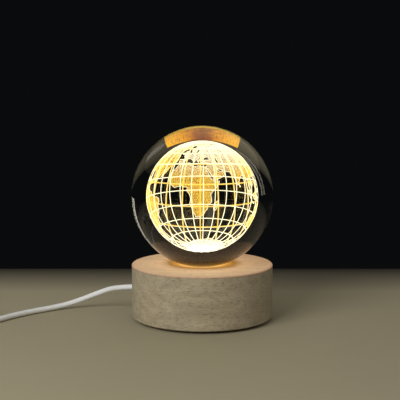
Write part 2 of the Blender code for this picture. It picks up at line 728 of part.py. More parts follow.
def end_notches():
    """The cord's bore at the two ends only, so that it does not groove the middle."""
    ends = []
    for side in (-1, 1):
        bore = rod(CORD_HOLE, RIB_OFFSET - RIB_THICKNESS, SWITCH_HALF + OVERRUN)
        bore = moved(bore, turn=(0, side * math.pi / 2, 0))
        ends.append(moved(bore, (0, 0, SWITCH_PARTING)))
    return gathered(ends)


def switch_lower_shell(parent, plastic):
    """The tray of the switch, with gripping ribs for the cord and sunk holes for its screws."""
    top = SWITCH_PARTING - FIT / 2
    shape = prism(case_outline(0), 0, top)
    round_edges(shape, lambda co: co.z < MERGE, SWITCH_ROUND)
    shell = solid("switch_lower_shell", shape, plastic, parent=parent)
    hollow = prism(case_outline(SWITCH_WALL), SWITCH_FLOOR, top + OVERRUN)
    combine(shell, hollow, "DIFFERENCE", "tray_hollow")
    ribs = []
    for side in (-1, 1):
        outside = RIB_OFFSET + RIB_THICKNESS / 2
        root = (case_half_width(outside, 0) + case_half_width(outside, SWITCH_WALL)) / 2
        rib = block((RIB_OFFSET - RIB_THICKNESS / 2, -root, SWITCH_FLOOR - BOSS_SINK),
                    (outside, root, top - FIT))
        ribs.append(moved(rib, turn=(0, 0, 0 if side > 0 else math.pi)))
    combine(shell, gathered(ribs), "UNION", "tray_ribs")
    combine(shell, end_notches(), "DIFFERENCE", "tray_notches")
    shank, head, head_height, _ = CASE_SCREW
    seat = head_height + FIT
    through = SWITCH_FLOOR + OVERRUN
    sink = [(0, -OVERRUN), (head + FIT, -OVERRUN), (head + FIT, seat), (shank + FIT, seat),
            (shank + FIT, through), (0, through)]
    sinks = [moved(turned(sink, SCREW_STEPS), (x, y, 0)) for x, y in boss_places()]
    combine(shell, gathered(sinks), "DIFFERENCE", "tray_sinks")


def switch_upper_shell(parent, plastic):
    """The lid of the switch: screw bosses, bearing ears and the rocker's window."""
    low = SWITCH_PARTING + FIT / 2
    shape = prism(case_outline(0), low, SWITCH_HEIGHT)
    round_edges(shape, lambda co: co.z > SWITCH_HEIGHT - MERGE, SWITCH_ROUND)
    shell = solid("switch_upper_shell", shape, plastic, parent=parent)
    ceiling = SWITCH_HEIGHT - SWITCH_WALL
    combine(shell, prism(case_outline(SWITCH_WALL), low - OVERRUN, ceiling), "DIFFERENCE", "lid_hollow")
    root = ceiling + BOSS_SINK
    bosses = [moved(rod(BOSS_RADIUS, SWITCH_FLOOR + FIT, root), (x, y, 0)) for x, y in boss_places()]
    ear_in = ROCKER_WIDTH / 2
    ear_out = SWITCH_WIDTH / 2 - SWITCH_WALL + BOSS_SINK
    for side in (-1, 1):
        near, far = sorted((side * ear_in, side * ear_out))
        bosses.append(block((-EAR_HALF_LENGTH, near, PIVOT_Z - EAR_DROP), (EAR_HALF_LENGTH, far, root)))
    combine(shell, gathered(bosses), "UNION", "lid_bosses")
    combine(shell, end_notches(), "DIFFERENCE", "lid_notches")
    window_half = ROCKER_REACH + ROCKER_PLAY
    window_side = ROCKER_WIDTH / 2 + ROCKER_PLAY
    window = block((-window_half, -window_side, PIVOT_Z - EAR_DROP - OVERRUN),
                   (window_half, window_side, SWITCH_HEIGHT + OVERRUN))
    combine(shell, window, "DIFFERENCE", "lid_window")
    pin_reach = ROCKER_WIDTH / 2 + PIVOT_LENGTH + FIT
    bearing = moved(rod(PIVOT_RADIUS + FIT, -pin_reach, pin_reach), turn=(math.pi / 2, 0, 0))
    combine(shell, moved(bearing, (0, 0, PIVOT_Z)), "DIFFERENCE", "lid_bearings")
    depth = SWITCH_FLOOR + CASE_SCREW[3]
    holes = [moved(rod(BOSS_HOLE + FIT / 2, SWITCH_FLOOR - OVERRUN, depth, SCREW_STEPS), (x, y, 0))
             for x, y in boss_places()]
    combine(shell, gathered(holes), "DIFFERENCE", "lid_screw_holes")


def rocker_outline():
    """The rocker from the side, level: a dished top, rounded ends and a flat underside."""
    rise = math.asin((PIVOT_DROP + ROCKER_PROUD) / ROCKER_REACH)
    drop = math.asin(ROCKER_DEPTH / ROCKER_REACH)
    steps = 5
    end = [(ROCKER_REACH * math.cos(a), ROCKER_REACH * math.sin(a))
           for a in (-drop + (rise + drop) * k / steps for k in range(steps + 1))]
    half = end[-1][0]
    high = end[-1][1]
    top_steps = 6
    top = []
    for k in range(1, top_steps):
        share = 1 - 2 * k / top_steps
        top.append((half * share, high - ROCKER_DISH * (1 - share**2)))
    return end + top + [(-x, z) for x, z in reversed(end)]


def side_prism(outline, half_width):
    """An outline of (x, z) points, stretched to both sides along Y."""
    shape = prism(outline, -half_width, half_width)
    return moved(shape, turn=(math.pi / 2, 0, 0))


def switch_rocker(parent, plastic):
    """The rocker, whose origin is on its pivot, with a pin at each side and the contact strip under it."""
    centre = (0, 0, PIVOT_Z)
    tilt = (0, ROCKER_TILT, 0)
    shape = moved(side_prism(rocker_outline(), ROCKER_WIDTH / 2), turn=tilt)
    rocker = solid("switch_rocker", shape, plastic, centre, parent=parent)
    pin_end = ROCKER_WIDTH / 2 + PIVOT_LENGTH
    pins = moved(rod(PIVOT_RADIUS, -pin_end, pin_end), turn=(math.pi / 2, 0, 0))
    combine(rocker, pins, "UNION", "rocker_pins")
    brass = material("strip_brass", (0.72, 0.53, 0.22), 0.3, metallic=1.0)
    high = -ROCKER_DEPTH - FINE_FIT
    bent = 2 * STRIP_THICKNESS
    flat = STRIP_HALF_LENGTH - bent
    side = STRIP_THICKNESS
    outline = [(-STRIP_HALF_LENGTH, high), (-STRIP_HALF_LENGTH, high - side), (-flat, high - side),
               (flat, high - side), (STRIP_HALF_LENGTH, high - side), (STRIP_HALF_LENGTH, high)]
    strip = moved(side_prism(outline, STRIP_WIDTH / 2), turn=tilt)
    solid("rocker_contact", strip, brass, centre, parent=parent)


def strip_under(along):
    """Height of the tilted contact strip's underside at a distance from the pivot."""
    below = ROCKER_DEPTH + FINE_FIT + STRIP_THICKNESS
    return PIVOT_Z - below / math.cos(ROCKER_TILT) - along * math.tan(ROCKER_TILT)


def switch_terminals(parent):
    """Two brass posts: the middle one always meets the strip, the outer one when the rocker is on."""
    low = SWITCH_FLOOR + FIT
    for k, (place, away) in enumerate(((0, -1), (POST_OUT, 1))):
        brass = material(f"terminal_brass_{k + 1}", (0.72, 0.53, 0.22), 0.3, metallic=1.0)
        half = POST_THICKNESS / 2
        high = strip_under(place + half) - FIT
        outline = [(place - away * half, low), (place + away * FOOT_LENGTH, low),
                   (place + away * FOOT_LENGTH, low + POST_THICKNESS),
                   (place + away * half, low + POST_THICKNESS), (place + away * half, high),
                   (place - away * half, high)]
        solid(f"switch_terminal_{k + 1}", side_prism(outline, STRIP_WIDTH / 2), brass, parent=parent)


def switch_wires(parent):
    """The conductors in the switch: the red one is cut at the contacts, the black one runs past them."""
    ends = SHEATH_STOP - FIT
    spread = CORD_RADIUS / 2
    radius = INNER_WIRE_RADIUS
    foot = SWITCH_FLOOR + FIT + POST_THICKNESS + FIT + radius
    side = SWITCH_WIDTH / 2 - SWITCH_WALL - 3 * radius
    x, _ = BOSS_OFFSET
    mid = (SWITCH_PARTING + foot) / 2
    half = ROCKER_REACH
    tips = (-FOOT_LENGTH + radius, POST_OUT + FOOT_LENGTH - radius)
    routes = {
        "switch_wire_black": [(-ends, -spread, SWITCH_PARTING), (-x, -side / 2, mid), (-half, -side, foot),
                              (0, -side, foot), (half, -side, foot), (half + 3 * radius, -side / 2, foot),
                              (x, -spread, mid), (ends, -spread, SWITCH_PARTING)],
        "switch_wire_red_1": [(-ends, spread, SWITCH_PARTING), (-x, spread, mid), (-half, spread / 2, foot),
                              (tips[0], 0, foot)],
        "switch_wire_red_2": [(ends, spread, SWITCH_PARTING), (x, spread, (mid + foot) / 2),
                              (tips[1], 0, foot)],
    }
    for name, route in routes.items():
        colour = (0.03, 0.03, 0.03) if "black" in name else (0.55, 0.03, 0.03)
        points = smooth_route(route, 4 * radius)
        tube(name, points, radius, 1, material(name + "_sheath", colour, 0.45), parent)


def switch_screws(parent):
    """The two screws that go up through the tray into the lid's bosses."""
    steel = material("switch_steel", (0.62, 0.62, 0.63), 0.3, metallic=1.0)
    places = [(x, y, CASE_SCREW[2]) for x, y in boss_places()]
    repeated("switch_screw", screw_shape(CASE_SCREW), steel, places, parent=parent)


def inline_switch():
    """The whole switch on the table beside the coil."""
    parent = anchor("switch_place", (*SWITCH_PLACE, CORD_LIFT), SWITCH_TURN)
    white = material("switch_plastic", (0.83, 0.83, 0.81), 0.35)
    rocker_white = material("rocker_plastic", (0.86, 0.86, 0.84), 0.3)
    switch_lower_shell(parent, white)
    switch_upper_shell(parent, white)
    switch_rocker(parent, rocker_white)
    switch_terminals(parent)
    switch_wires(parent)
    switch_screws(parent)


# Plug, along its own X from the cord to the tip

def rounded_rectangle(width, height, corner, steps=3):
    """An outline of (y, z) points with round corners."""
    points = []
    for k, (sy, sz) in enumerate(((1, 1), (-1, 1), (-1, -1), (1, -1))):
        for j in range(steps + 1):
            angle = math.pi / 2 * (k + j / steps)
            points.append((sy * (width / 2 - corner) + corner * math.cos(angle),
                           sz * (height / 2 - corner) + corner * math.sin(angle)))
    return points


def along_x(shape):
    """Lays a shape that was built up Z down along X, its X going to Y and its Y to Z."""
    bmesh.ops.transform(shape, matrix=Matrix(((0, 0, 1), (1, 0, 0), (0, 1, 0))).to_4x4(), verts=shape.verts)
    return shape


def usb_overmold(parent, plastic):
    """The moulded grip with its grooved strain relief, hollowed for the metal shell."""
    length, width, height = PLUG_BODY
    start = RELIEF_LENGTH
    shape = along_x(prism(rounded_rectangle(width, height, PLUG_EDGE), start, start + length))
    for end in (start, start + length):
        round_edges(shape, lambda co: abs(co.x - end) < MERGE, PLUG_EDGE / 2)
    grip = solid("usb_overmold", shape, plastic, parent=parent)
    outline = [(0, 0), (RELIEF_THIN, 0)]
    slope = (RELIEF_THICK - RELIEF_THIN) / RELIEF_LENGTH
    pitch = RELIEF_LENGTH / (RELIEF_GROOVES + 1)
    groove_share = 0.22
    for k in range(1, RELIEF_GROOVES + 1):
        for offset, sunk in ((-groove_share, 0), (-groove_share, 1), (groove_share, 1), (groove_share, 0)):
            z = pitch * (k + offset)
            outline.append((RELIEF_THIN + slope * z - sunk * RELIEF_GROOVE_DEPTH, z))
    outline += [(RELIEF_THICK, RELIEF_LENGTH + PLUG_EDGE), (0, RELIEF_LENGTH + PLUG_EDGE)]
    combine(grip, along_x(turned(outline, SMALL_STEPS)), "UNION", "plug_relief")
    _, shell_width, shell_height = SHELL_SIZE
    recess = rounded_rectangle(shell_width + 2 * FIT, shell_height + 2 * FIT, SHELL_CORNER + FIT)
    front = start + length
    socket = along_x(prism(recess, front - SHELL_SUNK - FIT, front + OVERRUN))
    combine(grip, socket, "DIFFERENCE", "plug_socket")


def usb_shell(parent):
    """The folded metal shell with its four latch windows."""
    length, width, height = SHELL_SIZE
    start = RELIEF_LENGTH + PLUG_BODY[0] - SHELL_SUNK
    tip = start + length
    steel = material("plug_shell_steel", (0.70, 0.70, 0.70), 0.25, metallic=1.0)
    outer = along_x(prism(rounded_rectangle(width, height, SHELL_CORNER), start, tip))
    shell = solid("usb_shell", outer, steel, parent=parent)
    inside = rounded_rectangle(width - 2 * SHELL_WALL, height - 2 * SHELL_WALL, SHELL_CORNER - SHELL_WALL)
    combine(shell, along_x(prism(inside, start - OVERRUN, tip + OVERRUN)), "DIFFERENCE", "shell_hollow")
    from_tip, sideways = SHELL_WINDOW_OFFSET
    windows = []
    for side in (-1, 1):
        centre = (tip - from_tip, side * sideways)
        windows.append(block((centre[0] - SHELL_WINDOW[0] / 2, centre[1] - SHELL_WINDOW[1] / 2, -height),
                             (centre[0] + SHELL_WINDOW[0] / 2, centre[1] + SHELL_WINDOW[1] / 2, height)))
    combine(shell, gathered(windows), "DIFFERENCE", "shell_windows")


def usb_tongue(parent):
    """The insulator: a block that fills the back of the shell and a tongue that carries the contacts."""
    length, width, height = SHELL_SIZE
    start = RELIEF_LENGTH + PLUG_BODY[0] - SHELL_SUNK
    tip = start + length - TONGUE_RECESS
    side = width / 2 - SHELL_WALL - FIT
    half = height / 2 - SHELL_WALL - FIT
    top = -half + TONGUE_THICKNESS
    outline = [(start, -half), (tip, -half), (tip, top), (start + TONGUE_BLOCK, top),
               (start + TONGUE_BLOCK, half), (start, half)]
    insulator = material("plug_tongue", (0.85, 0.85, 0.83), 0.4)
    solid("usb_tongue", side_prism(outline, side), insulator, parent=parent)
    gold = material("plug_gold", (0.85, 0.64, 0.30), 0.25, metallic=1.0)
    low = top + FINE_FIT
    from_block = start + TONGUE_BLOCK + FIT
    strip = block((0, -CONTACT_WIDTH / 2, 0), (CONTACT_LENGTH, CONTACT_WIDTH / 2, CONTACT_THICKNESS))
    places = [(from_block, CONTACT_SPACING * (k - (CONTACT_COUNT - 1) / 2), low)
              for k in range(CONTACT_COUNT)]
    repeated("usb_contact", strip, gold, places, parent=parent)


def usb_plug():
    """The plug lying flat on the table behind the coil."""
    parent = anchor("plug_place", (*PLUG_PLACE, PLUG_Z), PLUG_TURN)
    white = material("plug_plastic", (0.84, 0.84, 0.82), 0.4)
    usb_overmold(parent, white)
    usb_shell(parent)
    usb_tongue(parent)


# Cord

def cord():
    """The cord's free stretches and its coil, from the board to the plug."""
    white = material("cord_sheath", (0.82, 0.82, 0.80), 0.45)
    coil = coil_points()
    enter = coil_heading(COIL_START)
    leave = coil_heading(COIL_END)
    coil_in = coil[0] - enter * CORD_DIAMETER
    coil_out = coil[-1] + leave * CORD_DIAMETER
    coil = [coil_in] + coil + [coil_out]
    tube("cord_coil", coil, CORD_RADIUS, 1, white)
    gap = least_gap(coil, CORD_DIAMETER, COIL_POINTS // 2)
    print(f"least gap of the coil to itself: {gap:.5f} m")
    lead = [
        from_polar(SHEATH_END, CORD_TURN, CORD_Z),
        from_polar(POCKET_RADIUS, CORD_TURN, CORD_Z),
        from_polar(BASE_RADIUS - CORD_DIAMETER, CORD_TURN, CORD_Z),
        from_polar(BASE_RADIUS + CORD_DIAMETER, CORD_TURN, CORD_Z),
        (-0.0525, 0.0188, 0.0127),
        (-0.0610, 0.0213, 0.0096),
        (-0.0700, 0.0222, 0.0060),
        (-0.0790, 0.0206, 0.0031),
        (-0.0873, 0.0162, 0.0019),
        (-0.0950, 0.0100, 0.0017),
        (-0.1022, 0.0028, 0.0017),
        (-0.1088, -0.0052, 0.0017),
        (-0.1149, -0.0138, 0.0017),
        (-0.1208, -0.0225, 0.0017),
        coil_in - enter * (2 * CORD_DIAMETER),
        coil_in - enter * FIT,
    ]
    switch_in = Vector((SWITCH_PLACE[0], SWITCH_PLACE[1] - SHEATH_STOP, CORD_LIFT + SWITCH_PARTING))
    switch_out = Vector((SWITCH_PLACE[0], SWITCH_PLACE[1] + SHEATH_STOP, CORD_LIFT + SWITCH_PARTING))
    into = Vector((0, 1, 0))
    joint = [
        coil_out + leave * FIT,
        coil_out + leave * CORD_DIAMETER,
        (-0.1640, -0.0487, 0.0121),
        (-0.1718, -0.0464, 0.0104),
        (-0.1790, -0.0417, 0.0082),
        (-0.1842, -0.0352, 0.0064),
        (-0.1869, -0.0282, 0.0057),
        switch_in - into * (CORD_REACH + CORD_DIAMETER / 2),
        switch_in,
    ]
    heading = Vector((math.cos(PLUG_TURN), math.sin(PLUG_TURN), 0))
    plug_in = Vector((*PLUG_PLACE, PLUG_Z)) - heading * FIT
    tail = [
        switch_out,
        switch_out + into * (CORD_REACH + CORD_DIAMETER / 2),
        (-0.1864, 0.0384, 0.0052),
        (-0.1824, 0.0447, 0.0045),
        plug_in - heading * (2 * CORD_DIAMETER),
        plug_in,
    ]
    tube("cord_lead", smooth_route(lead, CORD_STEP), CORD_RADIUS, 2, white)
    tube("cord_link", smooth_route(joint, CORD_STEP), CORD_RADIUS, 2, white)
    tube("cord_tail", smooth_route(tail, CORD_STEP), CORD_RADIUS, 2, white)


def main():
    clear_scene()
    crystal_ball()
    wood_base()
    feet()
    light_cap()
    led_board()
    leds()
    resistor()
    supply_wires()
    cord_clamp()
    bottom_cover()
    inline_switch()
    usb_plug()
    cord()


main()
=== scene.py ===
"""Crystal ball lamp: a glass ball with an engraved globe on a turned beech light base."""

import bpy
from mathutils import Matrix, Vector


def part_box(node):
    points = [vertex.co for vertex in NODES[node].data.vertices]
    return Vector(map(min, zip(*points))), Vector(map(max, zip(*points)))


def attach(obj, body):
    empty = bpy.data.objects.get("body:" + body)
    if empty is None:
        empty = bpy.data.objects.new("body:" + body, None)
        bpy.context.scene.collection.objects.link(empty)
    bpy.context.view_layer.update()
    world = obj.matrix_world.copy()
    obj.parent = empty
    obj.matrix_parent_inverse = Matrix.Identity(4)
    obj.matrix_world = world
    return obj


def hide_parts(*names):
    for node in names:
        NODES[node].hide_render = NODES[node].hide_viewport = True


bl_info = {
    "name": "Crystal Ball Lamp",
    "version": (1, 0, 0),
    "blender": (4, 5, 0),
    "location": "View3D > Sidebar > Ball Lamp",
    "description": "Dresses a glass ball lamp with its engraved globe, beech base, cord, switch and plug",
    "category": "Add Mesh",
}

import math

import bmesh
import bpy
import numpy as np
from bpy.props import FloatProperty, FloatVectorProperty, IntProperty, PointerProperty
from mathutils import Matrix, Vector
from mathutils.bvhtree import BVHTree

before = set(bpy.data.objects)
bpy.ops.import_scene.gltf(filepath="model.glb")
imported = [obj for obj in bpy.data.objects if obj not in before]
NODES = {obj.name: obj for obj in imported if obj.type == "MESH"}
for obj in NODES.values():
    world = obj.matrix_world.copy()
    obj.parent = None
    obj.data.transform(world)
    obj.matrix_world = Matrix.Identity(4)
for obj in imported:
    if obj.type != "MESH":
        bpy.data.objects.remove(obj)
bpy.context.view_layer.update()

# Sizes taken from the frame, in metres
BALL_LOW, BALL_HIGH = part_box("crystal_ball")
BALL_CENTRE = (BALL_LOW + BALL_HIGH) / 2
BALL_RADIUS = (BALL_HIGH.x - BALL_LOW.x) / 2
BASE_LOW, BASE_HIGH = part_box("wood_base")
BASE_RADIUS = (BASE_HIGH.x - BASE_LOW.x) / 2
MERGE = 0.00001

# Cord, in metres, as the source lays it
CORD_DIAMETER = 0.0032
CORD_STEP = 0.0024
CORD_LIE = 0.0017
FIT = 0.0003
CORD_TURN = math.radians(160)
LEAD_START = ((0.0198, 0.0145), (0.0255, 0.0145), (0.0368, 0.0145), (0.0432, 0.0145))
LEAD_ROUTE = (
    (-0.0525, 0.0188, 0.0127),
    (-0.0610, 0.0213, 0.0096),
    (-0.0700, 0.0222, 0.0060),
    (-0.0790, 0.0206, 0.0031),
    (-0.0873, 0.0162, 0.0019),
    (-0.0950, 0.0100, 0.0017),
    (-0.1022, 0.0028, 0.0017),
    (-0.1088, -0.0052, 0.0017),
    (-0.1149, -0.0138, 0.0017),
    (-0.1208, -0.0225, 0.0017),
)
COIL_CENTRE = Vector((-0.1510, -0.0260, 0))
COIL_RADIUS = 0.0230
COIL_PITCH = 0.0037
COIL_RISE = 0.0037
COIL_LAYERS = 4
COIL_TURNS = 11
COIL_POINTS = 24
COIL_START = math.radians(-35)
COIL_END = math.radians(-90)
LINK_ROUTE = (
    (-0.1640, -0.0487, 0.0121),
    (-0.1718, -0.0464, 0.0104),
    (-0.1790, -0.0417, 0.0082),
    (-0.1842, -0.0352, 0.0064),
    (-0.1869, -0.0282, 0.0057),
    (-0.1875, -0.0216, 0.0056),
    (-0.1875, -0.0130, 0.0056),
)
TAIL_ROUTE = (
    (-0.1875, 0.0210, 0.0056),
    (-0.1875, 0.0296, 0.0056),
    (-0.1864, 0.0384, 0.0052),
    (-0.1824, 0.0447, 0.0045),
)
PLUG_IN = Vector((-0.1700, 0.0465, 0.0040))
PLUG_TURN = math.radians(-16)

# The spans round an engraved line, all the way
RING_STEPS = 120

# The warm card's middle and size, and its glow from the middle to the two ends
CARD_PLACE = (0.0, 0.079, 0.0010)
CARD_SIZE = (0.080, 0.068)
CARD_STOPS = ((0.0, (0.10, 0.0, 0.0)), (0.16, (0.24, 0.03, 0.0)), (0.42, (0.72, 0.27, 0.0)),
              (0.85, (1.0, 0.46, 0.01)))

